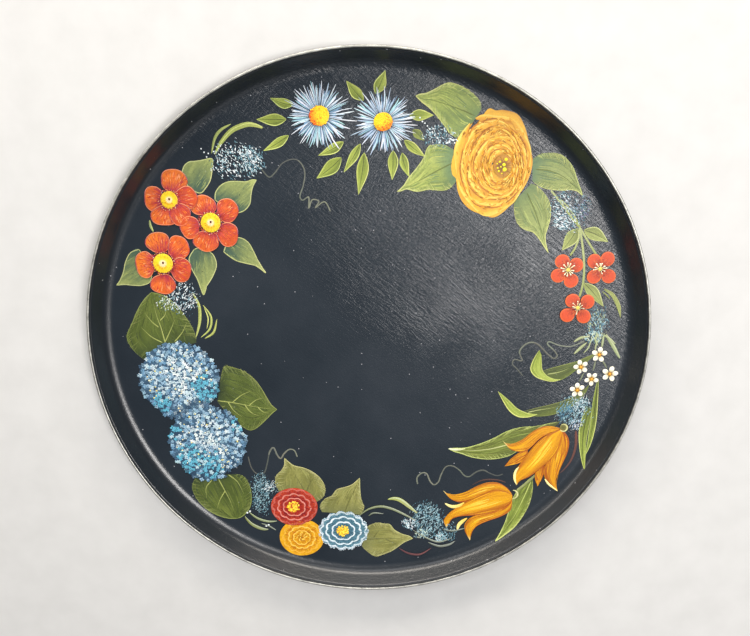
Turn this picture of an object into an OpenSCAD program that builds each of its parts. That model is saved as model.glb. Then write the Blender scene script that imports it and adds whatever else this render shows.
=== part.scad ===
// Round coved metal tray with a ring of painted flowers.
// Units are millimetres. +Z is up, the tray lies flat on its underside,
// and the origin is at the middle of the underside.
// +Y points at the two asters, +X at the small red flowers.

/* [Pan] */
// Overall diameter across the rim
rim_d = 305; // [220:5:420]
// Overall height from the underside to the top of the rim
rim_h = 12; // [9:0.5:30]
// Thickness of the pressed steel sheet
sheet_t = 0.8; // [0.5:0.1:1.6]
// Inner radius of the cove between floor and wall
cove_r = 7.2; // [4:0.2:12]
// Angle at which the wall stands up from the floor
wall_a = 60; // [45:1:75]
// Diameter of the rounded bead along the rim
bead_d = 1.5; // [1:0.1:3]

/* [Paint] */
// Thickness of the lacquer ground coat under the painting
coat_t = 0.15; // [0.1:0.05:0.4]
// Thickness of a dried paint film
film_t = 0.3; // [0.2:0.05:0.6]
// Extra height of the flower eyes above their petals
eye_t = 0.3; // [0.2:0.05:0.6]
// Bare gap left between neighbouring paint films
gap = 0.2; // [0.1:0.05:0.5]

/* [Flowers] */
// Reach of the aster petals from their centre
aster_r = 16.4; // [10:0.2:18]
// Number of petals on each aster
aster_n = 26; // [12:2:36]
// Diameter of the aster eyes
aster_eye_d = 10; // [6:0.5:12]
// Radius of the two rounds that make up the rose
rose_r = 20.6; // [14:0.2:22]
// Diameter of the dark heart of the rose
rose_heart_d = 10; // [6:0.5:14]
// Radius of one petal of the large red blooms
bloom_petal_r = 6; // [4:0.2:7]
// Diameter of the eyes of the large red blooms
bloom_eye_d = 10; // [6:0.5:11]
// Radius of a hydrangea head
hydrangea_r = 23; // [16:0.5:24]
// Radius of a scalloped bloom
scallop_r = 13; // [9:0.2:14]
// Radius of one petal of the small red flowers
berry_petal_r = 4; // [3:0.1:4.6]
// Radius of one petal of the cream flowers
cream_petal_r = 1.6; // [1:0.1:2]

/* [Strokes] */
// Width of a tendril line
tendril_w = 0.8; // [0.5:0.1:1.4]
// Width of a grass or stem stroke
stroke_w = 1.4; // [0.8:0.1:2.4]
// Length of one dab in the sprays
dab_l = 1.8; // [1:0.1:3]
// Width of one dab in the sprays
dab_w = 0.7; // [0.4:0.05:1.2]

/* [Hidden] */
bead_r = bead_d / 2;
rim_r = rim_d / 2;
bead_x = rim_r - bead_r;
bead_z = rim_h - bead_r;
// middle surface of the sheet: cove arc, then the straight wall up to the bead
cove_z = sheet_t + cove_r;
mid_r = cove_r + sheet_t / 2;
wall_foot_z = cove_z - mid_r * cos(wall_a);
wall_run = (bead_z - wall_foot_z) / tan(wall_a);
floor_r = bead_x - wall_run - mid_r * sin(wall_a);
floor_z = sheet_t + coat_t;
// the painting is laid out on a floor of this radius and follows the real one
layout_r = 141.1;
paint_s = floor_r / layout_r;
ring_t = 0.18;
bloom_reach = 9.8;
berry_reach = 5.4;
cream_reach = 2.8;
scallop_eye_d = 6;
aster_at = [[-25, 119], [8, 116]];
rose_at = [65, 94];
bloom_at = [[-105.5, 76], [-84, 64], [-111, 42]];
bloom_turns = [[6, 73, 180, 248, 306], [38, 113, 192, 253, 326], [42, 103, 185, 265, 337]];
hydrangea_at = [[-107, -24.5], [-93, -63]];
scallop_at = [[-44, -104], [-40, -124], [-15, -119.5]];
berry_at = [[108, 38], [125.5, 39], [115, 17.5]];
berry_turns = [[28, 128, 217, 293], [55, 131, 229, 322], [35, 127, 216, 304]];
cream_at = [[129, -9.5], [119, -16.5], [135, -20.5], [125.5, -23.5], [118, -30]];
cream_turn = [20, 50, 10, 62, 34];
steel = [0.62, 0.62, 0.6];
lacquer = [0.07, 0.085, 0.1];
leaf_green = [0.52, 0.58, 0.27];
olive = [0.36, 0.42, 0.18];
sage = [0.6, 0.6, 0.36];
blade_green = [0.45, 0.55, 0.22];
dab_white = [0.84, 0.9, 0.92];
dab_teal = [0.58, 0.74, 0.77];
red = [0.86, 0.34, 0.16];
gold = [0.95, 0.72, 0.2];

// ---------- pan profile ----------

// everything on the inner side of the pan, pushed out by d from the sheet's inner face
module well_area(d, top) {
  r = cove_r + d;
  foot = [floor_r + r * sin(wall_a), cove_z - r * cos(wall_a)];
  head = [foot[0] + (top - foot[1]) / tan(wall_a), top];
  translate([0, cove_z - r]) square([floor_r, top - cove_z + r]);
  translate([floor_r, cove_z]) intersection() {
    circle(r = r, $fn = 96);
    translate([0, -r]) square([r, r]);
  }
  polygon([[0, foot[1]], foot, head, [0, top]]);
}

module layer_area(inner, outer, top) {
  difference() {
    intersection() {
      well_area(outer, top + 4);
      translate([0, -1]) square([rim_r, top + 1]);
    }
    well_area(inner, top + 8);
  }
}

module pan() {
  color(steel) rotate_extrude($fn = 180) {
    layer_area(0, sheet_t, bead_z);
    translate([bead_x, bead_z]) circle(r = bead_r, $fn = 48);
  }
}

// the coat stops short of the bead, where the edge is worn bare
module coat_area(inner, outer) {
  difference() {
    layer_area(inner, outer, bead_z);
    translate([bead_x, bead_z]) circle(r = bead_r + 0.1, $fn = 48);
  }
}

module ground_coat() {
  color(lacquer) rotate_extrude($fn = 180) coat_area(-coat_t, 0);
}

// ---------- paint helpers ----------

// lays a flat shape on the painted floor, level 0 on the ground coat, level 1 on a film;
// the paint ends where the flat floor starts to curve up
module film(t = film_t, level = 0) {
  translate([0, 0, floor_z + level * film_t])
    linear_extrude(t)
      scale([paint_s, paint_s])
        intersection() {
          circle(r = layout_r, $fn = 360);
          children();
        }
}

// pointed oval from its base to its tip
module leaf(base, tip, w, g = 0) {
  l = norm(tip - base);
  r = (l * l + w * w) / (4 * w);
  d = tip - base;
  translate(base) rotate(atan2(d[1], d[0])) intersection() {
    translate([l / 2, r - w / 2]) circle(r = r + g, $fn = 360);
    translate([l / 2, w / 2 - r]) circle(r = r + g, $fn = 360);
  }
}

module dot(at, r) {
  translate(at) circle(r = r, $fn = 36);
}

// unit step square to the way from one place to the next
function side(from, to) = [from[1] - to[1], to[0] - from[0]] / norm(to - from);

// mitred step to the side at place i of a line
function lean(p, i) =
  let (last = len(p) - 1)
  let (before = side(p[max(i - 1, 0)], p[max(i, 1)]))
  let (after = side(p[min(i, last - 1)], p[min(i + 1, last)]))
  2 * (before + after) / ((before + after) * (before + after));

// line of even width through a list of places
module stroke(p, w) {
  last = len(p) - 1;
  polygon([
    for (i = [0 : last]) p[i] + w / 2 * lean(p, i),
    for (i = [last : -1 : 0]) p[i] - w / 2 * lean(p, i)
  ]);
}

// loose oval cloud of short dabs, turning from one to the next
module spray(at, rx, ry, n, g = 0) {
  for (i = [0 : n - 1]) {
    reach = sqrt((i + 0.5) / n);
    a = i * 137.5;
    translate(at + reach * [rx * cos(a), ry * sin(a)])
      rotate(50 + 70 * sin(i * 97))
        square([dab_l + 2 * g, dab_w + 2 * g], center = true);
  }
}

// outline that swells and pinches n times round a circle
function crinkled(r, n, depth) = [
  for (a = [0 : 6 : 354]) (r + depth * cos(n * a)) * [cos(a), sin(a)]
];

function star(n, r, r_in) = [
  for (i = [0 : 2 * n - 1])
    (i % 2 == 0 ? r * (0.9 + 0.1 * cos(i * 83)) : r_in) * [cos(i * 180 / n), sin(i * 180 / n)]
];

// ---------- asters ----------

module aster_shape(k, g = 0) {
  translate(aster_at[k]) polygon(star(aster_n, aster_r + g, aster_r * 0.55 + g));
}

module aster_round(g = 0) {
  dot(aster_at[0], aster_r + g);
  dot(aster_at[1], aster_r + g);
}

module aster_1() {
  color([0.78, 0.86, 0.93]) film() difference() {
    aster_shape(0);
    aster_shape(1, gap);
  }
}

module aster_2() {
  color([0.72, 0.84, 0.92]) film() aster_shape(1);
}

module aster_eyes() {
  color(gold) film(eye_t, 1) {
    dot(aster_at[0], aster_eye_d / 2);
    dot(aster_at[1], aster_eye_d / 2);
  }
}

module aster_leaves_shape(g = 0) {
  leaf([-38, 125], [-49.5, 127.5], 4.5, g);
  leaf([-41, 117], [-57, 117.5], 5.5, g);
  leaf([-41, 109], [-54, 101.5], 4, g);
  leaf([-2, 126], [-10.5, 136], 5, g);
  leaf([4, 130], [8, 139], 5, g);
  leaf([-12.5, 106], [-25.5, 99.5], 4.5, g);
  leaf([-13.5, 98], [-26.5, 87.5], 6, g);
  leaf([-5, 103], [-12, 91.5], 4, g);
  leaf([-2, 99], [-5, 79.5], 5, g);
  leaf([13, 101], [13, 87], 5, g);
  leaf([18.5, 100], [21.5, 89], 3.6, g);
  leaf([19, 106.5], [28, 100], 3.4, g);
  leaf([22, 119], [33, 119], 5, g);
}

module aster_leaves() {
  color(leaf_green) film() difference() {
    aster_leaves_shape();
    aster_round(gap);
    rose_leaf_1_shape(gap);
    rose_leaf_2_shape(gap);
  }
}

// ---------- rose ----------

module rose_shape(g = 0) {
  dot(rose_at + [-1, 7], rose_r + g);
  dot(rose_at + [1, -6], rose_r + g);
  dot(rose_at + [11, 5], rose_r * 0.47 + g);
}

module rose_leaf_1_shape(g = 0) {
  leaf([62, 115], [25, 128.5], 22, g);
}

module rose_leaf_2_shape(g = 0) {
  leaf([52, 96], [15.5, 80.5], 17, g);
}

module rose_leaf_3_shape(g = 0) {
  leaf([82, 96], [113, 79], 16, g);
}

module rose_leaf_4_shape(g = 0) {
  leaf([81, 88], [96, 49], 18, g);
}

module rose() {
  color([0.93, 0.66, 0.28]) film() rose_shape();
}

module rose_heart() {
  color([0.5, 0.33, 0.1]) film(eye_t, 1) dot(rose_at + [5.5, -0.5], rose_heart_d / 2);
}

module rose_leaf_1() {
  color(leaf_green) film() difference() {
    rose_leaf_1_shape();
    rose_shape(gap);
  }
}

module rose_leaf_2() {
  color(leaf_green) film() difference() {
    rose_leaf_2_shape();
    rose_shape(gap);
  }
}

module rose_leaf_3() {
  color(leaf_green) film() difference() {
    rose_leaf_3_shape();
    rose_shape(gap);
  }
}

module rose_leaf_4() {
  color(leaf_green) film() difference() {
    rose_leaf_4_shape();
    rose_shape(gap);
    rose_leaf_3_shape(gap);
  }
}

// ---------- large red blooms ----------

// five round petals spread about the eye
module bloom_shape(k, g = 0) {
  for (a = bloom_turns[k])
    translate(bloom_at[k]) rotate(a) translate([bloom_reach, 0]) circle(r = bloom_petal_r + g, $fn = 48);
  dot(bloom_at[k], bloom_reach * 0.65 + g);
}

module bloom_leaf_1_shape(g = 0) {
  leaf([-99, 84], [-81.5, 97], 13, g);
}

module bloom_leaf_2_shape(g = 0) {
  leaf([-80, 72], [-59, 86], 13, g);
}

module bloom_leaf_3_shape(g = 0) {
  leaf([-77, 52], [-56, 37], 10, g);
}

module bloom_leaf_4_shape(g = 0) {
  leaf([-90, 53], [-90, 25], 13, g);
}

module bloom_leaf_5_shape(g = 0) {
  leaf([-117, 46], [-137, 30], 14, g);
}

module bloom_1() {
  color(red) film() difference() {
    bloom_shape(0);
    bloom_shape(1, gap);
    bloom_shape(2, gap);
  }
}

module bloom_2() {
  color(red) film() difference() {
    bloom_shape(1);
    bloom_shape(2, gap);
  }
}

module bloom_3() {
  color(red) film() bloom_shape(2);
}

module bloom_eyes() {
  color([0.96, 0.8, 0.16]) film(eye_t, 1) for (at = bloom_at) dot(at, bloom_eye_d / 2);
}

module bloom_leaf_1() {
  color(leaf_green) film() difference() {
    bloom_leaf_1_shape();
    bloom_shape(0, gap);
    bloom_shape(1, gap);
  }
}

module bloom_leaf_2() {
  color(leaf_green) film() difference() {
    bloom_leaf_2_shape();
    bloom_shape(1, gap);
  }
}

module bloom_leaf_3() {
  color(leaf_green) film() difference() {
    bloom_leaf_3_shape();
    bloom_shape(1, gap);
  }
}

module bloom_leaf_4() {
  color(leaf_green) film() difference() {
    bloom_leaf_4_shape();
    bloom_shape(1, gap);
    bloom_shape(2, gap);
  }
}

module bloom_leaf_5() {
  color(leaf_green) film() difference() {
    bloom_leaf_5_shape();
    bloom_shape(2, gap);
  }
}

// ---------- hydrangeas ----------

module hydrangea_shape(k, g = 0) {
  translate(hydrangea_at[k]) polygon(crinkled(hydrangea_r - 0.4 + g, 15, 0.4));
}

module hydrangea_leaf_1_shape(g = 0) {
  leaf([-88, -32], [-53, -42.5], 26, g);
}

module hydrangea_leaf_2_shape(g = 0) {
  leaf([-95, -78], [-76, -112], 27, g);
}

module hydrangea_leaf_3_shape(g = 0) {
  leaf([-114, -10], [-120, 24], 31, g);
}

module hydrangea_1() {
  color([0.55, 0.72, 0.86]) film() difference() {
    hydrangea_shape(0);
    hydrangea_shape(1, gap);
  }
}

module hydrangea_2() {
  color([0.58, 0.75, 0.88]) film() hydrangea_shape(1);
}

module hydrangea_leaf_1() {
  color(olive) film() difference() {
    hydrangea_leaf_1_shape();
    hydrangea_shape(0, gap);
    hydrangea_shape(1, gap);
  }
}

module hydrangea_leaf_2() {
  color(olive) film() difference() {
    hydrangea_leaf_2_shape();
    hydrangea_shape(1, gap);
  }
}

module hydrangea_leaf_3() {
  color(olive) film() difference() {
    hydrangea_leaf_3_shape();
    hydrangea_shape(0, gap);
    bloom_shape(2, gap);
    spray_leaf_shape(gap);
  }
}

// ---------- scalloped blooms ----------

module scallop_shape(k, size = 1, g = 0) {
  translate(scallop_at[k]) polygon(crinkled(scallop_r * size - 0.5 + g, 12, 0.5));
}

module scallop_leaf_1_shape(g = 0) {
  leaf([-32, -104], [-48.5, -74], 24, g);
}

module scallop_leaf_2_shape(g = 0) {
  leaf([-19, -110], [-5.5, -86.5], 17, g);
}

module scallop_leaf_3_shape(g = 0) {
  leaf([-5, -125], [25.5, -125], 20, g);
}

// three stepped rings of petals
module scallop(k) {
  film() scallop_shape(k);
  film(ring_t, 1) scallop_shape(k, 0.75);
  film(2 * ring_t, 1) scallop_shape(k, 0.5);
}

module scallop_red() {
  color([0.8, 0.25, 0.18]) scallop(0);
}

module scallop_yellow() {
  color([0.95, 0.68, 0.16]) difference() {
    scallop(1);
    translate([0, 0, -1]) film(5) {
      scallop_shape(0, 1, gap);
      scallop_shape(2, 1, gap);
    }
  }
}

module scallop_blue() {
  color([0.45, 0.62, 0.72]) difference() {
    scallop(2);
    translate([0, 0, -1]) film(5) scallop_shape(0, 1, gap);
  }
}

module scallop_eyes() {
  color(gold) translate([0, 0, 2 * ring_t]) film(eye_t, 1) {
    dot(scallop_at[0], scallop_eye_d / 2);
    dot(scallop_at[2], scallop_eye_d / 2);
  }
}

module scallop_leaf_1() {
  color(sage) film() difference() {
    scallop_leaf_1_shape();
    scallop_shape(0, 1, gap);
    scallop_shape(2, 1, gap);
  }
}

module scallop_leaf_2() {
  color(sage) film() difference() {
    scallop_leaf_2_shape();
    scallop_shape(2, 1, gap);
    scallop_leaf_1_shape(gap);
  }
}

module scallop_leaf_3() {
  color(sage) film() difference() {
    scallop_leaf_3_shape();
    scallop_shape(2, 1, gap);
  }
}

// ---------- tulips ----------

module tulip_1_shape(g = 0) {
  leaf([112, -54], [86, -87.5], 15, g);
  leaf([110, -54], [78, -62], 10, g);
  leaf([95, -64], [79.5, -77], 5.5, g);
  leaf([102, -72], [99, -89.5], 5, g);
  leaf([111, -54], [109, -92], 11, g);
}

module tulip_2_shape(g = 0) {
  leaf([84.5, -95], [46, -115], 14, g);
  leaf([84, -94], [45, -94.5], 10, g);
  leaf([84, -97], [60, -124.5], 12, g);
  leaf([60, -101], [45.5, -102], 2.6, g);
  leaf([60, -108], [52.5, -118], 2.6, g);
}

module tulip_leaf_1_shape(g = 0) {
  leaf([109, -51], [47, -67], 17, g);
}

module tulip_blades_shape(g = 0) {
  leaf([124, -40], [124, -77], 5, g);
  leaf([130, -26], [129, -64], 4, g);
}

module tulip_1() {
  color(gold) film() tulip_1_shape();
}

module tulip_2() {
  color(gold) film() difference() {
    tulip_2_shape();
    tulip_1_shape(gap);
  }
}

module tulip_leaf_1() {
  color(blade_green) film() difference() {
    tulip_leaf_1_shape();
    tulip_1_shape(gap);
  }
}

module tulip_leaf_2() {
  color(blade_green) film() difference() {
    union() {
      leaf([95.5, -84], [77, -122], 11);
      stroke([[97, -82], [87, -92]], stroke_w);
    }
    tulip_1_shape(gap);
    tulip_2_shape(gap);
  }
}

module tulip_blades() {
  color(blade_green) film() difference() {
    union() {
      tulip_blades_shape();
      stroke([[117.5, -55], [118, -65], [116, -73], [112.5, -79]], stroke_w);
    }
    tulip_1_shape(gap);
    cream_shapes(gap);
  }
}

// ---------- small red flowers ----------

module berry_shapes(g = 0) {
  for (k = [0 : 2]) {
    for (a = berry_turns[k])
      translate(berry_at[k]) rotate(a) translate([berry_reach, 0]) circle(r = berry_petal_r + g, $fn = 36);
    dot(berry_at[k], berry_reach / 2 + g);
  }
}

module berry_stems(w) {
  stroke([[98, 80], [105, 71], [113, 61.5]], w);
  stroke([[113, 61.5], [112, 54], [109, 47]], w);
  stroke([[113, 61.5], [116, 48], [117, 32], [115.5, 24]], w);
  stroke([[113, 61.5], [119, 53], [123, 46]], w);
  stroke([[129, 28], [134.5, 23], [138, 12.5]], w);
}

module berry_leaves(g = 0) {
  leaf([112, 60], [104.5, 50], 6, g);
  leaf([115, 60.5], [128, 54], 6, g);
  leaf([117.5, 31], [128, 19], 5.4, g);
}

module berry_flowers() {
  color([0.9, 0.36, 0.18]) film() berry_shapes();
}

module berry_eyes() {
  color([0.96, 0.88, 0.66]) film(eye_t, 1) for (at = berry_at) translate(at) polygon(star(8, 3.8, 1.8));
}

module berry_sprig() {
  color([0.66, 0.7, 0.42]) film() difference() {
    union() {
      berry_stems(stroke_w);
      berry_leaves();
    }
    berry_shapes(gap);
    rose_leaf_3_shape(gap);
    rose_leaf_4_shape(gap);
  }
}

// ---------- cream flowers ----------

module cream_shapes(g = 0) {
  for (k = [0 : 4]) {
    for (i = [0 : 4])
      translate(cream_at[k]) rotate(cream_turn[k] + 72 * i) translate([cream_reach, 0])
        circle(r = cream_petal_r + g, $fn = 24);
    dot(cream_at[k], cream_reach / 2 + g);
  }
}

module cream_leaf_shapes(g = 0) {
  leaf([96, -24], [95, -7.5], 5.5, g);
  leaf([93, -21], [121, -13.5], 8, g);
  leaf([95, -45], [73.5, -31.5], 4.6, g);
  leaf([87, -44.5], [121, -33], 6.5, g);
}

module cream_flowers() {
  color([0.95, 0.91, 0.8]) film() cream_shapes();
}

module cream_eyes() {
  color(gold) film(eye_t, 1) for (at = cream_at) dot(at, 1);
}

module cream_leaves() {
  color(blade_green) film() difference() {
    cream_leaf_shapes();
    cream_shapes(gap);
  }
}

// ---------- sprays ----------

module spray_bloom_shape(g = 0) {
  spray([-69, 96], 13, 8.5, 52, g);
}

module spray_hydrangea_shape(g = 0) {
  spray([-63, -97], 5, 12.5, 40, g);
}

module spray_leaf_shape(g = 0) {
  spray([-103, 21], 9, 8, 26, g);
}

module spray_bloom() {
  color(dab_white) film() difference() {
    spray_bloom_shape();
    bloom_leaf_1_shape(gap);
    bloom_leaf_2_shape(gap);
  }
}

module spray_rose() {
  color(dab_white) film() difference() {
    spray([37, 109.5], 7.5, 5, 26);
    rose_leaf_1_shape(gap);
    rose_leaf_2_shape(gap);
    rose_shape(gap);
    aster_leaves_shape(gap);
  }
}

module spray_berry() {
  color(dab_white) film() difference() {
    spray([107.5, 70], 9.5, 8.5, 46);
    rose_leaf_3_shape(gap);
    rose_leaf_4_shape(gap);
    berry_stems(stroke_w + 2 * gap);
    berry_leaves(gap);
  }
}

module spray_cream() {
  color(dab_teal) film() difference() {
    union() {
      spray([126.5, 6.5], 6, 8.5, 34);
      stroke([[122, 0], [115, -8]], stroke_w);
      stroke([[132, 1], [139, -10]], stroke_w);
    }
    berry_shapes(gap);
    berry_leaves(gap);
    berry_stems(stroke_w + 2 * gap);
    cream_shapes(gap);
  }
}

module spray_tulip() {
  color(dab_teal) film() difference() {
    spray([117, -43], 8, 7.5, 44);
    cream_shapes(gap);
    cream_leaf_shapes(gap);
    tulip_leaf_1_shape(gap);
    tulip_blades_shape(gap);
    tulip_1_shape(gap);
  }
}

module spray_scallop() {
  color(dab_teal) film() difference() {
    union() {
      spray([35, -113], 11.5, 11, 60);
      stroke([[12, -98.5], [17, -98.5], [22, -101.5], [28, -107]], stroke_w);
      stroke([[-1, -105], [7, -103.5], [14, -105], [24, -110]], stroke_w);
      stroke([[20, -131.5], [25, -134], [31, -134], [36, -130.5]], stroke_w);
    }
    scallop_leaf_3_shape(gap);
    scallop_leaf_2_shape(gap);
    scallop_shape(2, 1, gap);
    tulip_2_shape(gap);
  }
}

module spray_hydrangea() {
  color(dab_teal) film() difference() {
    union() {
      spray_hydrangea_shape();
      stroke([[-72, -112], [-68, -116.5], [-61, -119]], stroke_w);
      stroke([[-68, -109], [-62, -113.5], [-56, -114]], stroke_w);
    }
    hydrangea_shape(1, gap);
    hydrangea_leaf_2_shape(gap);
    scallop_leaf_1_shape(gap);
    scallop_shape(0, 1, gap);
    scallop_shape(1, 1, gap);
  }
}

module spray_leaf() {
  color(dab_white) film() difference() {
    spray_leaf_shape();
    bloom_shape(2, gap);
    bloom_leaf_4_shape(gap);
    hydrangea_shape(0, gap);
  }
}

// ---------- tendrils and grasses ----------

module tendrils() {
  color([0.55, 0.58, 0.45]) film() difference() {
    union() {
      stroke([[-52, 88], [-49, 90], [-45, 95], [-40, 97], [-36, 96], [-33, 91], [-34, 84], [-36, 78],
              [-34, 76], [-30, 77], [-31, 72], [-26, 75], [-23, 75], [-20, 70]], tendril_w);
      stroke([[113, -4.5], [106, -4], [101, -2.5], [104, -7], [104.5, -11], [100, -9], [95, -4],
              [91, -2.5], [87, -4], [84.5, -8], [86, -13], [82, -12.5], [81, -15], [85, -19]], tendril_w);
      stroke([[29, -89], [28.5, -85], [31, -82], [34, -82.5], [36, -87], [38.5, -89.5], [41, -87.5],
              [42.5, -83], [45, -78], [49, -77.5], [53, -80], [56, -83.5], [59, -84], [63, -81],
              [67, -80], [71, -82], [75, -83.5], [78, -82.5]], tendril_w);
      stroke([[-69, -74], [-68.5, -79], [-65, -82.5], [-61, -82], [-59, -76], [-57.5, -69], [-55, -67],
              [-53, -71], [-51, -73], [-49, -70], [-46, -67.5], [-43, -68], [-41.5, -72]], tendril_w);
    }
    aster_leaves_shape(gap);
    cream_leaf_shapes(gap);
    hydrangea_leaf_2_shape(gap);
    scallop_leaf_1_shape(gap);
    hydrangea_shape(1, gap);
    tulip_1_shape(gap);
    tulip_2_shape(gap);
    spray_bloom_shape(gap);
    spray_hydrangea_shape(gap);
  }
}

module grasses() {
  color([0.66, 0.68, 0.38]) film() difference() {
    union() {
      stroke([[-79, 101], [-75, 107], [-70, 111.5], [-63, 113.5], [-59, 113]], stroke_w);
      stroke([[-82, 101], [-79.5, 108], [-75, 113]], stroke_w);
      stroke([[-95, 25], [-92.5, 18], [-93, 9], [-95.5, 0]], stroke_w);
      stroke([[-90, 18], [-87, 12], [-88, 5], [-91.5, 0]], stroke_w);
      stroke([[-83.5, 10], [-85.5, 3], [-88, 0]], stroke_w);
      stroke([[-117, 64], [-115.5, 59.5]], stroke_w);
    }
    spray_bloom_shape(gap);
    spray_leaf_shape(gap);
    bloom_leaf_1_shape(gap);
    bloom_leaf_4_shape(gap);
    aster_leaves_shape(gap);
    hydrangea_leaf_3_shape(gap);
    hydrangea_shape(0, gap);
    bloom_shape(0, gap);
    bloom_shape(2, gap);
  }
}

pan();
ground_coat();
aster_1();
aster_2();
aster_eyes();
aster_leaves();
rose();
rose_heart();
rose_leaf_1();
rose_leaf_2();
rose_leaf_3();
rose_leaf_4();
bloom_1();
bloom_2();
bloom_3();
bloom_eyes();
bloom_leaf_1();
bloom_leaf_2();
bloom_leaf_3();
bloom_leaf_4();
bloom_leaf_5();
hydrangea_1();
hydrangea_2();
hydrangea_leaf_1();
hydrangea_leaf_2();
hydrangea_leaf_3();
scallop_red();
scallop_yellow();
scallop_blue();
scallop_eyes();
scallop_leaf_1();
scallop_leaf_2();
scallop_leaf_3();
tulip_1();
tulip_2();
tulip_leaf_1();
tulip_leaf_2();
tulip_blades();
berry_flowers();
berry_eyes();
berry_sprig();
cream_flowers();
cream_eyes();
cream_leaves();
spray_bloom();
spray_rose();
spray_berry();
spray_cream();
spray_tulip();
spray_scallop();
spray_hydrangea();
spray_leaf();
tendrils();
grasses();
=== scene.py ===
from math import tan, atan2, cos, degrees, dist, exp, hypot, pi, radians, sin, sqrt
import random

import bpy
import numpy as np
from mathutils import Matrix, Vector


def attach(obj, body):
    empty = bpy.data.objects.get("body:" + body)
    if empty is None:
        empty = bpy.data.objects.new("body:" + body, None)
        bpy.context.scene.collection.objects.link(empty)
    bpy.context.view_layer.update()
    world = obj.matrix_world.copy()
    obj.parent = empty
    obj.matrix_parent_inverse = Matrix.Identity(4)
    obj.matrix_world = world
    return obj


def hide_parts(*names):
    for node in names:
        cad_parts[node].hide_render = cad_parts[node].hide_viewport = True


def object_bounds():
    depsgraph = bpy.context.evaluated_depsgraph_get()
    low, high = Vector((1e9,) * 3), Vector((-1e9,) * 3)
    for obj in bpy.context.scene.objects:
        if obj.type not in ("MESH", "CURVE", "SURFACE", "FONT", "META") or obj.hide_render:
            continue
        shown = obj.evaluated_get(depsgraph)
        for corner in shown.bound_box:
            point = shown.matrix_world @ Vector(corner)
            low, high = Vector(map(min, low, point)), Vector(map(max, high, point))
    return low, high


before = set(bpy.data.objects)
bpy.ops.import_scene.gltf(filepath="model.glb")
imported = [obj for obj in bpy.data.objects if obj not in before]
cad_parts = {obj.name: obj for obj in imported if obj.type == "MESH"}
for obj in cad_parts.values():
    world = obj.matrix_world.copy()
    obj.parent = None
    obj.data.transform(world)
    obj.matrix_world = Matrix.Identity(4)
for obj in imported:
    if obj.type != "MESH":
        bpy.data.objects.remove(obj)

MM = 0.001
TAU = 2 * pi
cad_low, cad_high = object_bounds()

# ---------------------------------------------------------------- tray sizes, in millimetres

RIM_R = (cad_high[0] - cad_low[0]) / 2 / MM
RIM_H = cad_high[2] / MM
SHEET = 0.8
COAT = 0.15
COVE = 7.2
WALL = radians(60)
BEAD_R = 0.75
BEAD_X = RIM_R - BEAD_R
BEAD_Z = RIM_H - BEAD_R
COVE_Z = SHEET + COVE
FOOT_Z = COVE_Z - (COVE + SHEET / 2) * cos(WALL)
FLOOR_R = BEAD_X - (BEAD_Z - FOOT_Z) / tan(WALL) - (COVE + SHEET / 2) * sin(WALL)
FLOOR_Z = SHEET + COAT


def surface_z(x, y):
    """Height of the lacquered floor, and of the cove beyond it, under a place on the tray."""
    out = np.clip(np.hypot(x, y) - FLOOR_R, 0, COVE * 0.8)
    bend = COVE - COAT
    return FLOOR_Z + bend - np.sqrt(bend * bend - out * out)


# ---------------------------------------------------------------- camera and light

SENSOR_WIDTH = 36
LENS = 34.5
CAMERA_PLACE = (7.4, 108.7, 385.9)
CAMERA_AIM = (3.8, 11.4, 1.0)


def add_camera():
    data = bpy.data.cameras.new("camera")
    data.sensor_width = SENSOR_WIDTH
    data.lens = LENS
    camera = bpy.data.objects.new("camera", data)
    bpy.context.collection.objects.link(camera)
    place = Vector(CAMERA_PLACE) * MM
    look = (Vector(CAMERA_AIM) * MM - place).normalized()
    right = look.cross(Vector((0, 1, 0))).normalized()
    up = right.cross(look)
    camera.location = place
    camera.rotation_mode = "QUATERNION"
    turn = bpy.data.objects.new("turn", None).matrix_world.to_3x3()
    turn.col[0], turn.col[1], turn.col[2] = right, up, -look
    camera.rotation_quaternion = turn.to_quaternion()
    bpy.context.scene.camera = camera


def add_softbox(name, place, aim, size, power, colour=(1, 1, 1)):
    data = bpy.data.lights.new(name, "AREA")
    data.shape = "RECTANGLE"
    data.size, data.size_y = size
    data.energy = power
    data.color = colour
    light = bpy.data.objects.new(name, data)
    bpy.context.collection.objects.link(light)
    light.location = place
    light.rotation_euler = (Vector(aim) - Vector(place)).to_track_quat("-Z", "Y").to_euler()


add_camera()
add_softbox("overhead softbox", (0.45, 0.02, 1.12), (0, 0, 0), (0.42, 0.5), 12.0, (1.0, 0.97, 0.95))
add_softbox("long strip above the far side", (-0.25, 0.78, 1.0), (0, 0, 0), (1.3, 0.3), 4.5,
            (0.97, 0.98, 1.0))
add_softbox("low side softbox", (-0.95, 0.66, 0.42), (0, 0, 0), (1.0, 0.22), 4.5, (1.0, 0.94, 0.86))
add_softbox("low panel on the far side", (0.0, 1.08, 0.42), (0, 0, 0), (1.5, 0.24), 16.0, (1.0, 0.93, 0.84))
add_softbox("front softbox", (0.4, -1.1, 0.9), (0, 0, 0), (0.8, 0.5), 1.4, (0.97, 0.98, 1.0))

scene = bpy.context.scene
scene.view_settings.view_transform = "Standard"
world = bpy.data.worlds.new("studio")
world.use_nodes = True
world.node_tree.nodes["Background"].inputs["Color"].default_value = (0.75, 0.8, 0.86, 1)
world.node_tree.nodes["Background"].inputs["Strength"].default_value = 0.11
scene.world = world


# ---------------------------------------------------------------- node helpers

def new_material(name):
    """A new material: itself, its node tree, its shader and the places on the piece."""
    material = bpy.data.materials.new(name)
    material.use_nodes = True
    tree = material.node_tree
    at = tree.nodes.new("ShaderNodeTexCoord").outputs["Object"]
    return material, tree, tree.nodes["Principled BSDF"], at


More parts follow.
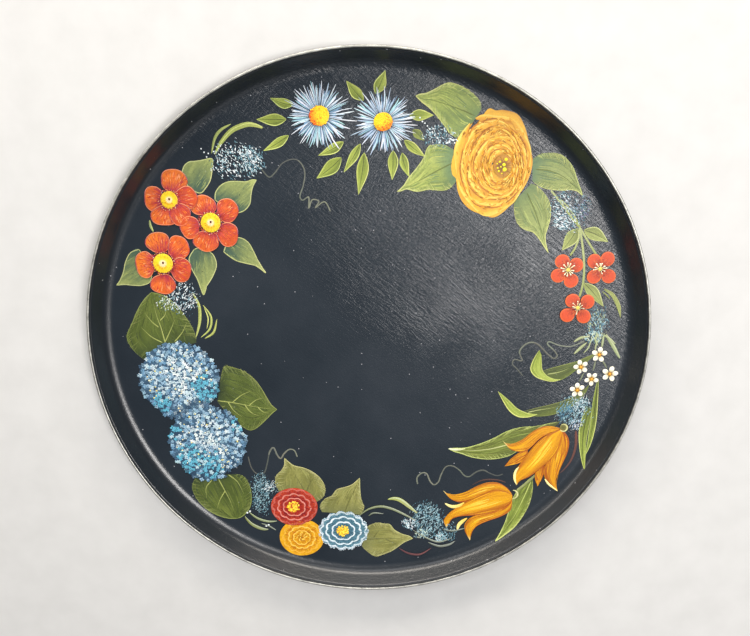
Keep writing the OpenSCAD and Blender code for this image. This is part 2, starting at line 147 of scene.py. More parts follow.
def wire(tree, node, sockets):
    """Gives each named socket of the node another node's output, or a plain value."""
    for name, value in sockets.items():
        if isinstance(value, bpy.types.NodeSocket):
            tree.links.new(value, node.inputs[name])
        else:
            node.inputs[name].default_value = value


def add_node(tree, kind, out, sockets, **settings):
    """A shader node, wired up; gives back the output asked for."""
    node = tree.nodes.new("ShaderNode" + kind)
    for key, value in settings.items():
        setattr(node, key, value)
    wire(tree, node, sockets)
    return node.outputs[out]


def noise(tree, at, scale, detail, rough=0.5):
    return add_node(tree, "TexNoise", "Fac", {"Vector": at, "Scale": scale, "Detail": detail,
        "Roughness": rough})


def sums(tree, operation, *values, clamp=False):
    return add_node(tree, "Math", 0, dict(enumerate(values)), operation=operation, use_clamp=clamp)


def spread(tree, value, low, high, least=0.0, most=1.0, kind="LINEAR"):
    """The value's run from low to high, laid out from least to most."""
    sockets = {"Value": value, "From Min": low, "From Max": high, "To Min": least, "To Max": most}
    return add_node(tree, "MapRange", "Result", sockets, interpolation_type=kind)


def mix(tree, factor, first, second):
    return add_node(tree, "Mix", "Result", {"Factor": factor, "A": first, "B": second}, data_type="RGBA")


def bumped(tree, height, strength, distance):
    return add_node(tree, "Bump", "Normal", {"Height": height, "Strength": strength, "Distance": distance})


def ramp(tree, factor, stops):
    node = tree.nodes.new("ShaderNodeValToRGB")
    marks = node.color_ramp.elements
    while len(marks) < len(stops):
        marks.new(0.5)
    for mark, (at, colour) in zip(marks, stops):
        mark.position = at
        mark.color = (*colour, 1)
    wire(tree, node, {"Fac": factor})
    return node.outputs["Color"]


def srgb(r, g, b):
    """A screen colour, 0 to 255 a channel, as the linear colour the shaders work in."""
    return tuple(c / 12.92 if c <= 0.04045 else ((c + 0.055) / 1.055) ** 2.4 for c in (r / 255, g / 255,
        b / 255))


def make_group(name, inputs, outputs):
    group = bpy.data.node_groups.new(name, "ShaderNodeTree")
    for label, kind, value in inputs:
        socket = group.interface.new_socket(label, in_out="INPUT", socket_type=kind)
        if value is not None:
            socket.default_value = value
    for label, kind in outputs:
        group.interface.new_socket(label, in_out="OUTPUT", socket_type=kind)
    return group, group.nodes.new("NodeGroupInput"), group.nodes.new("NodeGroupOutput")


FLOAT, COLOUR, VECTOR = "NodeSocketFloat", "NodeSocketColor", "NodeSocketVector"


def make_dust_group():
    """Fine pale specks and a faint haze that settle on any painted face."""
    group, into, out = make_group(
        "settled dust",
        [("Colour", COLOUR, (0, 0, 0, 1)), ("Specks", FLOAT, 0.5), ("Haze", FLOAT, 0.04),
         ("Scale", FLOAT, 420.0)],
        [("Colour", COLOUR), ("Mask", FLOAT)],
    )
    given = into.outputs
    at = group.nodes.new("ShaderNodeTexCoord").outputs["Object"]
    cells = add_node(group, "TexVoronoi", "Distance", {"Vector": at, "Scale": given["Scale"]})
    chance = add_node(group, "SeparateColor", "Red", {"Color": cells.node.outputs["Color"]})
    both = sums(group, "MULTIPLY", sums(group, "LESS_THAN", cells, 0.09),
                sums(group, "GREATER_THAN", chance, 0.86))
    specks = sums(group, "MULTIPLY", both, given["Specks"])
    haze = sums(group, "MULTIPLY", noise(group, at, 24.0, 4.0, 0.6), given["Haze"])
    total = sums(group, "ADD", specks, haze, clamp=True)
    wire(group, out, {"Colour": mix(group, total, given["Colour"], (0.62, 0.62, 0.66, 1)), "Mask": total})
    return group


def make_brush_group():
    """Hair-fine ridges that a brush leaves along its way."""
    group, into, out = make_group(
        "brush ridges",
        [("Vector", VECTOR, None), ("Fineness", FLOAT, 900.0), ("Waver", FLOAT, 0.4)],
        [("Height", FLOAT), ("Shade", FLOAT)],
    )
    given = into.outputs
    sockets = {"Vector": given["Vector"], "Scale": given["Fineness"], "Distortion": given["Waver"],
               "Detail": 3.0, "Roughness": 0.65}
    wide = add_node(group, "TexNoise", "Fac", sockets)
    wire(group, out, {"Height": wide, "Shade": spread(group, wide, 0.25, 0.75)})
    return group


DUST = make_dust_group()
BRUSH = make_brush_group()


def place_group(tree, group, out, sockets):
    node = tree.nodes.new("ShaderNodeGroup")
    node.node_tree = group
    wire(tree, node, sockets)
    return node.outputs[out]


def turned(tree, vector, angle, stretch):
    """The same places turned about Z and stretched, so that a pattern runs along one way."""
    return add_node(tree, "Mapping", "Vector", {"Vector": vector, "Rotation": (0, 0, radians(angle)),
        "Scale": stretch}, vector_type="TEXTURE")


# ---------------------------------------------------------------- materials

def make_floor_material():
    material, tree, shader, at = new_material("pale studio paper")
    paper = ramp(tree, noise(tree, at, 60.0, 5.0), [(0.3, (0.60, 0.60, 0.59)), (0.7, (0.64, 0.64, 0.63))])
    wire(tree, shader, {"Base Color": paper, "Roughness": 0.85})
    return material


def make_lacquer_material():
    """Brushed-on slate-black lacquer: crossing ridges on one side of the floor, a glossy wall darkened with
    painted shade, dust.
    """
    material, tree, shader, at = new_material("slate lacquer")
    along = place_group(tree, BRUSH, "Height", {"Vector": turned(tree, at, -38, (4.0, 0.8, 1)),
        "Fineness": 640.0, "Waver": 0.8})
    across = place_group(tree, BRUSH, "Height", {"Vector": turned(tree, at, 44, (3.2, 0.8, 1)),
        "Fineness": 700.0, "Waver": 1.0})
    turn = ramp(tree, noise(tree, at, 16.0, 2.0), [(0.32, (0, 0, 0)), (0.68, (1, 1, 1))])
    chosen = add_node(tree, "Mix", "Result", {"Factor": turn, "A": along, "B": across}, data_type="FLOAT")
    side = add_node(tree, "VectorMath", "Value", {0: at, 1: (0.6, 0.8, 0)}, operation="DOT_PRODUCT")
    ridges = sums(tree, "MULTIPLY", chosen, spread(tree, side, -0.02, 0.08, 0.22, 1.0, "SMOOTHSTEP"))
    height = sums(tree, "MULTIPLY_ADD", noise(tree, at, 900.0, 3.0), 0.14, ridges)
    tone = noise(tree, at, 11.0, 5.0, 0.62)
    base = ramp(tree, tone, [(0.30, srgb(28, 36, 44)), (0.52, srgb(35, 43, 51)), (0.75, srgb(43, 50, 58))])
    flat = add_node(tree, "VectorMath", "Vector", {0: at, 1: (1, 1, 0)}, operation="MULTIPLY")
    away = add_node(tree, "VectorMath", "Value", {0: flat}, operation="LENGTH")
    # painted shade: from the foot of the wall upwards the lacquer's colour is mixed towards near-black,
    # standing in for the shade on the wall; the same mask also gives the wall its clear coat
    wall = spread(tree, away, (FLOOR_R + 0.5) * MM, (FLOOR_R + 5) * MM, 0.0, 0.5, "SMOOTHSTEP")
    darker = mix(tree, wall, base, (*srgb(5, 8, 11), 1))
    wire(tree, shader, {
        "Base Color": place_group(tree, DUST, "Colour",
            {"Colour": darker, "Specks": 0.55, "Haze": 0.012, "Scale": 300.0}),
        "Roughness": spread(tree, tone, 0.0, 1.0, 0.2, 0.3), "Specular IOR Level": 0.4, "Coat Weight": wall,
                        "Coat Roughness": 0.32,
        "Normal": bumped(tree, height, 0.85, 0.0005),
    })
    return material


def make_pan_material():
    """Thin dark lacquer over steel: worn through to bright metal along the bead, scuffed on the wall."""
    material, tree, shader, at = new_material("worn dark steel")
    up = add_node(tree, "SeparateXYZ", "Z", {"Vector": at})
    chips, patches = noise(tree, at, 170.0, 6.0, 0.7), noise(tree, at, 14.0, 3.0)
    worn = sums(tree, "ADD", spread(tree, up, (BEAD_Z + 0.15) * MM, (RIM_H - 0.1) * MM, -0.62, 0.42), chips)
    bare = ramp(tree, sums(tree, "MULTIPLY_ADD", patches, 0.5, worn),
                [(0.66, (0, 0, 0)), (0.80, (1, 1, 1))])
    mask = add_node(tree, "SeparateColor", "Red", {"Color": bare})
    lacquer = ramp(tree, chips, [(0.35, srgb(26, 31, 36)), (0.7, srgb(38, 43, 48))])
    metal = ramp(tree, chips, [(0.3, srgb(132, 132, 126)), (0.7, srgb(208, 208, 200))])
    both = mix(tree, mask, lacquer, metal)
    wire(tree, shader, {
        "Base Color": place_group(tree, DUST, "Colour",
            {"Colour": both, "Specks": 0.4, "Haze": 0.03, "Scale": 380.0}),
        "Metallic": sums(tree, "MULTIPLY", mask, 0.8),
                        "Roughness": spread(tree, chips, 0.0, 1.0, 0.34, 0.55),
        "Normal": bumped(tree, chips, 0.3, 0.0003),
    })
    return material


def make_paint_material(name, fineness, streak, gloss, depth):
    """Dried artist's paint: the pigment laid down stroke by stroke, with bristle ridges and fine dust."""
    material, tree, shader, at = new_material(name)
    pigment = add_node(tree, "Attribute", "Color", {}, attribute_name="pigment")
    height = place_group(tree, BRUSH, "Height", {"Vector": at, "Fineness": fineness, "Waver": 0.6})
    shade = spread(tree, height.node.outputs["Shade"], 0.0, 1.0, 1 - streak, 1 + streak)
    tinted = add_node(tree, "VectorMath", "Vector", {0: pigment, 1: shade}, operation="MULTIPLY")
    wire(tree, shader, {
        "Base Color": place_group(tree, DUST, "Colour",
            {"Colour": tinted, "Specks": 0.25, "Haze": 0.01, "Scale": 340.0}),
        "Roughness": spread(tree, height, 0.0, 1.0, gloss - 0.08, gloss + 0.1), "Specular IOR Level": 0.3,
        "Normal": bumped(tree, height, 0.4, depth),
    })
    return material


FLOOR_PAPER = make_floor_material()
LACQUER = make_lacquer_material()
WORN_STEEL = make_pan_material()
PETAL_PAINT = make_paint_material("petal paint", 1400.0, 0.16, 0.44, 0.00012)
LEAF_PAINT = make_paint_material("leaf paint", 1000.0, 0.20, 0.48, 0.00010)
DAB_PAINT = make_paint_material("dabbed paint", 1800.0, 0.12, 0.42, 0.00014)
LINE_PAINT = make_paint_material("thinned line paint", 1600.0, 0.25, 0.5, 0.00006)


# ---------------------------------------------------------------- turned metal

def turn_profile(profile, turns):
    """Sweeps a closed half profile of (radius, height) places round Z, with one place on the axis."""
    at = np.linspace(0, TAU, turns, endpoint=False)
    index, places, faces = {}, [], []

    def spot(i, k):
        r, z = profile[k]
        key = (0 if r == 0 else i % turns, k)
        if key not in index:
            index[key] = len(places)
            places.append((r * MM * cos(at[key[0]]), r * MM * sin(at[key[0]]), z * MM))
        return index[key]

    for i in range(turns):
        for k in range(len(profile)):
            m = (k + 1) % len(profile)
            face = list(dict.fromkeys((spot(i, k), spot(i + 1, k), spot(i + 1, m), spot(i, m))))
            if len(face) > 2:
                faces.append(face)
    return places, faces


def build_mesh(name, places, faces, material, smooth=True):
    mesh = bpy.data.meshes.new(name)
    mesh.from_pydata([tuple(p) for p in places], [], [tuple(f) for f in faces])
    mesh.materials.append(material)
    if smooth:
        mesh.shade_smooth()
    piece = bpy.data.objects.new(name, mesh)
    bpy.context.collection.objects.link(piece)
    return piece


def arc_places(cx, cz, r, start, stop, count):
    return [(cx + r * cos(a), cz + r * sin(a)) for a in np.linspace(start, stop, count)]


def inner_profile(push):
    """From the middle of the floor out to the bead, on the well side, moved into the well by push."""
    line = [(r, SHEET + push) for r in np.linspace(0, FLOOR_R, 60)]
    bend = COVE - push
    line += arc_places(FLOOR_R, COVE_Z, bend, -pi / 2, -pi / 2 + WALL, 14)[1:]
    foot = line[-1]
    top = BEAD_Z - 0.75
    run = (top - foot[1]) / tan(WALL)
    line += [(foot[0] + run * t, foot[1] + (top - foot[1]) * t) for t in np.linspace(0, 1, 8)[1:]]
    return line


def make_pan():
    well = inner_profile(0)
    bend = COVE + SHEET
    back = [(r, 0) for r in np.linspace(0, FLOOR_R, 30)]
    back += arc_places(FLOOR_R, COVE_Z, bend, -pi / 2, -pi / 2 + WALL, 14)[1:]
    foot = back[-1]
    top = BEAD_Z - 0.45
    run = (top - foot[1]) / tan(WALL)
    back += [(foot[0] + run * t, foot[1] + (top - foot[1]) * t) for t in np.linspace(0, 1, 8)[1:]]
    start = atan2(well[-1][1] - BEAD_Z, well[-1][0] - BEAD_X)
    stop = atan2(back[-1][1] - BEAD_Z, back[-1][0] - BEAD_X)
    bead = arc_places(BEAD_X, BEAD_Z, BEAD_R, start + TAU if start < 0 else start, stop, 18)
    profile = well + bead + back[::-1]
    places, faces = turn_profile(profile, 480)
    pan = build_mesh("pressed_pan", places, faces, WORN_STEEL)
    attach(pan, "root")
    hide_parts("pan")


def make_ground():
    face = inner_profile(COAT)
    under = inner_profile(0.02)
    places, faces = turn_profile(face + under[::-1], 360)
    ground = build_mesh("lacquer_ground", places, faces, LACQUER)
    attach(ground, "root")
    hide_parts("ground_coat")


make_pan()
make_ground()

# ---------------------------------------------------------------- pigment

def mottle(x, y, size, seed=0):
    """Soft cloudy numbers from 0 to 1 over the tray, each cloud about size across."""
    u, v = np.asarray(x) / size, np.asarray(y) / size
    i, j = np.floor(u), np.floor(v)
    f, g = u - i, v - j
    f, g = f * f * (3 - 2 * f), g * g * (3 - 2 * g)

    def corner(a, b):
        s = np.sin(a * 127.1 + b * 311.7 + seed * 74.7) * 43758.5453
        return s - np.floor(s)

    low_row = corner(i, j) * (1 - f) + corner(i + 1, j) * f
    high_row = corner(i, j + 1) * (1 - f) + corner(i + 1, j + 1) * f
    return low_row * (1 - g) + high_row * g


def streaks(x, y, angle, length, width, seed=0):
    """Mottle drawn out along one way, like bristle marks."""
    c, s = cos(angle), sin(angle)
    return mottle((x * c + y * s) * width / length, y * c - x * s, width, seed)


def blend(first, second, t):
    """From the first pigment to the second as t goes from 0 to 1, for one t or for many."""
    t = np.clip(np.asarray(t, float), 0, 1)[..., None]
    return np.asarray(first) * (1 - t) + np.asarray(second) * t


def smooth_step(t):
    t = np.clip(t, 0, 1)
    return t * t * (3 - 2 * t)


def smooth_way(points, count, closed=False):
    """A smooth run of count places through the points given."""
    p = np.array(points, float)
    n = len(p)
    if n == 2 and not closed:
        t = np.linspace(0, 1, count)[:, None]
        return p[0] * (1 - t) + p[1] * t
    pick = (lambda i: p[i % n]) if closed else (lambda i: p[min(max(i, 0), n - 1)])
    spans = n if closed else n - 1
    out = []
    for t in np.linspace(0, spans, count, endpoint=not closed):
        i = min(int(t), spans - 1)
        u = t - i
        a, b, c, d = pick(i - 1), pick(i), pick(i + 1), pick(i + 2)
        out.append(0.5 * (2 * b + (c - a) * u + (2 * a - 5 * b + 4 * c - d) * u * u
                          + (3 * b - a - 3 * c + d) * u ** 3))
    return np.array(out)


def polar(at, r, a):
    return (at[0] + r * cos(a), at[1] + r * sin(a))


def oval_place(at, rx, ry, a):
    return (at[0] + rx * cos(a), at[1] + ry * sin(a))


class Paint:
    """One painted piece: brush strokes laid one over another, each a low ridge of pigment."""

    def __init__(self, seed):
        self.places, self.faces, self.colours = [], [], []
        self.chance = random.Random(seed)
        self.level = 0.113
        self.size = 0

    def between(self, a, b):
        return self.chance.uniform(a, b)

    def pick(self, colours):
        return self.chance.choice(colours)

    def near(self, colour, spread=0.12):
        """The colour, a little lighter or darker, as paint from the brush varies."""
        k = 1 + self.between(-spread, spread)
        return tuple(min(1.0, c * k * (1 + self.between(-0.04, 0.04))) for c in colour)

    def add_sheet(self, x, y, height, colour, wrap):
        """A grid of places, rows by columns, with its faces."""
        rows, columns = x.shape
        z = surface_z(x, y) + height
        self.places.append(np.stack([x, y, z], -1).reshape(-1, 3))
        self.colours.append(np.broadcast_to(colour, (rows, columns, 3)).reshape(-1, 3))
        index = np.arange(rows * columns).reshape(rows, columns) + self.size
        if wrap:
            index = np.concatenate([index, index[:, :1]], 1)
        a, b, c, d = index[:-1, :-1], index[:-1, 1:], index[1:, 1:], index[1:, :-1]
        self.faces.append(np.stack([a, b, c, d], -1).reshape(-1, 4))
        self.size += rows * columns
        self.level += 0.0006

    def stroke(self, way, width, start, end=None, swell=0.09, steps=None, taper="both", edge=1.0, lift=0.0):
        """A brush stroke along a way. It is fullest along its middle and thins towards its ends."""
        end = start if end is None else end
        length = sum(dist(a, b) for a, b in zip(way, way[1:]))
        steps = steps or max(4, min(48, int(length / 0.9) + 3))
        line = smooth_way(way, steps)
        run = np.gradient(line, axis=0)
        run /= np.maximum(np.hypot(run[:, 0], run[:, 1])[:, None], 1e-9)
        aside = np.stack([-run[:, 1], run[:, 0]], -1)
        t = np.linspace(0, 1, steps)
        full = {
            "both": np.sin(np.pi * np.clip(t, 0.02, 0.98)) ** 0.6,
            "tip": np.clip((1 - t) * 1.25 + 0.02, 0, 1) ** 0.7 * np.clip(t * 8 + 0.3, 0, 1),
            "foot": np.clip(t * 1.25 + 0.02, 0, 1) ** 0.7 * np.clip((1 - t) * 8 + 0.3, 0, 1),
            "even": np.clip(np.minimum(t, 1 - t) * 14 + 0.35, 0, 1) ** 0.5,
            "drop": np.clip(t, 0.03, 1) ** 0.9 * np.clip((1 - t) * 6 + 0.15, 0, 1) ** 0.5,
        }[taper]
        across = np.array([-1, -0.5, 0, 0.5, 1]) if width > 0.9 else np.array([-1, 0, 1])
        half = (width / 2 * full)[None, :]
        x = line[None, :, 0] + across[:, None] * half * aside[None, :, 0]
        y = line[None, :, 1] + across[:, None] * half * aside[None, :, 1]
        dome = 1 - across[:, None] ** 2
        height = self.level + lift + swell * dome * np.sqrt(full)[None, :] - 0.03 * (1 - dome)
        colour = blend(start, end, np.broadcast_to(t, x.shape))
        if edge != 1.0:
            colour = colour * (1 + (edge - 1) * (1 - dome))[..., None]
        self.add_sheet(x, y, height, np.clip(colour, 0, 1), False)

    def fill(self, outline, pigment, swell=0.05, rings=7, steps=None, heart=None, smooth=True, lift=0.0):
        """A patch of paint inside a closed outline, coloured by pigment(x, y, share of way out, angle)."""
        edge = smooth_way(outline, steps or max(20, min(90, 5 * len(outline))),
                          True) if smooth else np.array(outline, float)
        heart = np.array(heart if heart is not None else edge.mean(0), float)
        out = np.linspace(0.02, 1, rings + 1) ** 0.9
        x = heart[0] + out[:, None] * (edge[None, :, 0] - heart[0])
        y = heart[1] + out[:, None] * (edge[None, :, 1] - heart[1])
        share = np.broadcast_to(out[:, None], x.shape)
        height = self.level + lift + swell * (1 - share ** 6) - 0.012 * (share > 0.99)
        angle = np.arctan2(y - heart[1], x - heart[0])
        colour = np.clip(pigment(x, y, share, angle), 0, 1)
        self.add_sheet(x, y, height, colour, True)
        self.level += swell * 0.9

    def loft(self, left, right, pigment, swell=0.05, steps=40, across=9):
        """A petal or blade spread between its two edges, coloured by pigment(x, y, way along, way across)."""
        a, b = smooth_way(left, steps), smooth_way(right, steps)
        s = np.linspace(0, 1, across)[:, None]
        x = a[None, :, 0] * (1 - s) + b[None, :, 0] * s
        y = a[None, :, 1] * (1 - s) + b[None, :, 1] * s
        t = np.broadcast_to(np.linspace(0, 1, steps)[None, :], x.shape)
        s = np.broadcast_to(s, x.shape)
        edge = np.abs(2 * s - 1)
        height = self.level + swell * (1 - edge ** 6) - 0.012 * (edge > 0.99)
        self.add_sheet(x, y, height, np.clip(pigment(x, y, t, s), 0, 1), False)
        self.level += swell * 0.9

    def touches(self, marks, swell=0.05, taper="both", step=0.0006):
        """Many short strokes at once. A mark is (foot, head, width, first colour, last colour, bend)."""
        n = len(marks)
        foot, head, width, start, end = (np.array([mark[k] for mark in marks], float) for k in range(5))
        bow = np.array([mark[5] if len(mark) > 5 else 0.0 for mark in marks])
        run = head - foot
        size = np.maximum(np.hypot(run[:, 0], run[:, 1]), 1e-6)
        aside = np.stack([-run[:, 1], run[:, 0]], -1) / size[:, None]
        t = np.linspace(0, 1, 6)
        full = {
            "both": np.array([0.12, 0.72, 1.0, 1.0, 0.72, 0.12]),
            "tip": np.array([0.45, 1.0, 0.92, 0.7, 0.42, 0.06]),
            "foot": np.array([0.06, 0.42, 0.7, 0.92, 1.0, 0.35]),
            "even": np.array([0.5, 0.95, 1.0, 1.0, 0.95, 0.5]),
        }[taper]
        across = np.array([-1.0, 0.0, 1.0])
        line = foot[:, None, :] + t[None, :, None] * run[:, None, :]
        line = line + (bow[:, None] * np.sin(np.pi * t)[None, :])[..., None] * aside[:, None, :]
        half = width[:, None] / 2 * full[None, :]
        place = line[:, None] + (across[None, :, None] * half[:, None, :])[..., None] * aside[:, None, None,
            :]
        base = self.level + step * np.arange(n)
        dome = (1 - across ** 2)[None, :, None]
        height = base[:, None, None] + swell * dome * full[None, None, :] - 0.025 * (1 - dome)
        colour = start[:, None, None, :] * (1 - t)[None, None, :, None] + end[:, None, None, :] * t[None,
            None, :, None]
        self.add_many(place[..., 0], place[..., 1], height, np.broadcast_to(colour, (n, 3, 6, 3)), False)
        self.level += step * n

    def dots(self, at, r, colours, swell=0.1, squash=1.0, turn=0.0, step=0.0004):
        """Many touches of the brush tip at once."""
        at = np.array(at, float).reshape(-1, 2)
        n = len(at)
        r = np.broadcast_to(np.asarray(r, float), (n,))
        squash = np.broadcast_to(np.asarray(squash, float), (n,))
        turn = np.broadcast_to(np.asarray(turn, float), (n,))
        a = np.arange(8) / 8 * TAU
        out = np.array([0.05, 0.62, 1.0])
        u = r[:, None, None] * out[None, :, None] * np.cos(a)[None, None, :]
        v = (r * squash)[:, None, None] * out[None, :, None] * np.sin(a)[None, None, :]
        c, s = np.cos(turn)[:, None, None], np.sin(turn)[:, None, None]
        x = at[:, 0, None, None] + c * u - s * v
        y = at[:, 1, None, None] + s * u + c * v
        base = self.level + step * np.arange(n)
        height = base[:, None, None] + swell * (1 - out ** 2)[None, :, None] - 0.02 * (out == 1.0)[None, :,
            None] + 0 * x
        colour = np.broadcast_to(np.asarray(colours, float).reshape(-1, 1, 1, 3),
            (n, 3, 8, 3)) * np.array([1.1, 1.0, 0.85])[None, :, None, None]
        self.add_many(x, y, height, np.clip(colour, 0, 1), True)
        self.level += step * n

    def add_many(self, x, y, height, colour, wrap):
        """Grids of places, one after another, with their faces."""
        n, rows, columns = x.shape
        z = surface_z(x, y) + height
        self.places.append(np.stack([x, y, z], -1).reshape(-1, 3))
        self.colours.append(np.asarray(colour).reshape(-1, 3))
        index = np.arange(n * rows * columns).reshape(n, rows, columns) + self.size
        if wrap:
            index = np.concatenate([index, index[:, :, :1]], 2)
        a, b, c, d = index[:, :-1, :-1], index[:, :-1, 1:], index[:, 1:, 1:], index[:, 1:, :-1]
        self.faces.append(np.stack([a, b, c, d], -1).reshape(-1, 4))
        self.size += n * rows * columns

    def disc(self, at, r, pigment, swell=0.12, squash=1.0, turn=0.0, rings=5, steps=28, lift=0.0):
        c, s = cos(turn), sin(turn)
        ring = [(r * cos(a), r * squash * sin(a)) for a in np.linspace(0, TAU, steps, endpoint=False)]
        outline = [(at[0] + c * u - s * v, at[1] + s * u + c * v) for u, v in ring]
        self.fill(outline, pigment, swell, rings, steps, at, False, lift)

    def dot(self, at, r, colour, swell=0.12):
        """A touch of the brush tip."""
        self.disc(at, r, lambda x, y, s, a: np.broadcast_to(colour, (*x.shape, 3)) * (1.08 - 0.2 * s)[...,
            None], swell, 1.0, 0.0, 2, 8)

    def finish(self, name, material, slot, *nodes):
        """Turns the strokes into one piece that stands for the CAD films named."""
        places = np.concatenate(self.places)
        faces = np.concatenate(self.faces)
        colours = np.concatenate(self.colours)
        mesh = bpy.data.meshes.new(name)
        mesh.vertices.add(len(places))
        mesh.vertices.foreach_set("co", (places * MM).ravel())
        mesh.loops.add(faces.size)
        mesh.loops.foreach_set("vertex_index", faces.ravel())
        mesh.polygons.add(len(faces))
        mesh.polygons.foreach_set("loop_start", np.arange(0, faces.size, 4))
        mesh.update(calc_edges=True)
        mesh.validate()
        mesh.shade_smooth()
        layer = mesh.color_attributes.new("pigment", "FLOAT_COLOR", "POINT")
        layer.data.foreach_set("color", np.concatenate([colours, np.ones((len(colours), 1))], 1).ravel())
        # the strokes share one flat map from above, where the last one laid covers the ones below it
        low, high = places[:, :2].min(0), places[:, :2].max(0)
        flat = (places[:, :2] - low) / (high - low).max() * 0.96 + 0.02
        own = mesh.uv_layers.new(name="OFBake")
        used = np.empty(len(mesh.loops), np.int32)
        mesh.loops.foreach_get("vertex_index", used)
        own.uv.foreach_set("vector", flat[used].astype(np.float32).ravel())
        mesh.materials.append(material)
        piece = bpy.data.objects.new(name, mesh)
        bpy.context.collection.objects.link(piece)
        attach(piece, "root")
        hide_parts(*nodes)
        return piece


# ---------------------------------------------------------------- leaves

def paint_leaf(paint, outline, base, tip, shades, edge, veins=(), vein=None, grain=26, fine=0.35, rib=None,
               rim=0.5):
    """A leaf: two shades blended from base to tip, brushed along its length, with a paler edge and veins."""
    deep, middle, light = shades
    base, tip = np.array(base, float), np.array(tip, float)
    run = tip - base
    length = np.hypot(*run)
    run = run / length
    angle = atan2(run[1], run[0])
    seed = paint.between(0, 50)

    def body(x, y, share, a):
        t = ((x - base[0]) * run[0] + (y - base[1]) * run[1]) / length
        side = ((y - base[1]) * run[0] - (x - base[0]) * run[1]) / length
        tone = t * 0.85 + 0.5 * side + 0.35 * (mottle(x, y, 5.5, seed) - 0.5) + 0.28 * (streaks(x, y, angle,
            9, 0.8, seed) - 0.5)
        colour = blend(deep, middle, smooth_step(tone * 1.8))
        colour = colour * (1 - smooth_step(tone * 1.6 - 0.7))[...,
            None] + np.asarray(light) * smooth_step(tone * 1.6 - 0.7)[..., None]
        return colour * (1 - 0.18 * (share > 0.97))[..., None]

    heart = (base + tip) / 2 if paint_inside(outline, (base + tip) / 2) else None
    paint.fill(outline, body, 0.05, 10, None, heart)
    ring = smooth_way(outline, 60, True)
    middle_of = (base + tip) / 2
    marks = []
    for k in range(grain):
        spot = middle_of + (ring[int(paint.between(0, 60)) % 60] - middle_of) * paint.between(0.1, 0.84)
        reach = paint.between(0.10, 0.28) * length
        start, stop = spot - run * reach / 2, spot + run * reach / 2
        if not (paint_inside(outline, start) and paint_inside(outline, stop)):
            continue
        tone = paint.between(0, 1)
        colour = blend(middle, light if tone > 0.45 else deep, abs(tone - 0.5) * 1.3)
        marks.append((start, stop, fine * paint.between(0.7, 1.5), paint.near(colour, 0.1),
                      paint.near(colour, 0.1), paint.between(-0.03, 0.03) * length))
    if marks:
        paint.touches(marks, 0.03)
    if rim:
        half = len(outline)
        closed = list(outline) + [outline[0]]
        cut = max(2, half // 2)
        for part in (closed[: cut + 1], closed[cut:]):
            paint.stroke(part, rim, paint.near(edge, 0.08), blend(edge, light, 0.5), 0.06, None, "even")
    if rib is not None:
        paint.stroke(rib, fine * 1.8, vein or edge, blend(vein or edge, light, 0.4), 0.07, None, "tip")
    for way in veins:
        paint.stroke(way, fine * 1.3, vein or edge, blend(vein or edge, middle, 0.6), 0.05, None, "tip")


def paint_inside(outline, spot):
    """Whether the spot lies inside the outline."""
    inside = False
    for (x0, y0), (x1, y1) in zip(outline, list(outline[1:]) + [outline[0]]):
        if (y0 > spot[1]) != (y1 > spot[1]) and spot[0] < (x1 - x0) * (spot[1] - y0) / (y1 - y0) + x0:
            inside = not inside
    return inside


# ---------------------------------------------------------------- large red blooms

RED, ORANGE, EMBER = srgb(190, 56, 34), srgb(226, 120, 40), srgb(160, 42, 40)
PINK_EDGE = srgb(236, 150, 106)
PURPLE, MAGENTA = srgb(96, 40, 96), srgb(176, 60, 92)
SUN, CREAM, UMBER = srgb(246, 214, 44), srgb(252, 226, 184), srgb(84, 40, 14)

BLOOMS = [
    ((-105.5, 76), 4.6, [((-102.5, 86), 6.9, 6.0, 0.7), ((-113.6, 76.5), 5.2, 6.6, 0.55),
                         ((-108.6, 67.6), 7.4, 5.2, 0.5),
                         ((-96.4, 77), 6.0, 5.9, 0.15), ((-100.2, 68.3), 5.6, 5.9, 0.15)]),
    ((-84, 64), 5.2, [((-87.8, 73), 7.0, 5.2, 0.5), ((-74.9, 70.4), 5.7, 6.3, 0.25),
                      ((-75.3, 57.6), 5.6, 6.4, 0.2),
                      ((-87, 54.1), 6.9, 5.6, 0.35), ((-95.4, 61.4), 5.1, 6.0, 0.3)]),
    ((-111, 42), 5.3, [((-113.3, 53.2), 6.6, 5.5, 0.75), ((-102.4, 50.2), 5.7, 6.6, 0.4),
                       ((-101.8, 38.4), 5.6, 6.7, 0.2),
                       ((-112, 30.3), 6.9, 5.4, 0.4), ((-121, 41.2), 5.2, 7.2, 0.8)]),
]


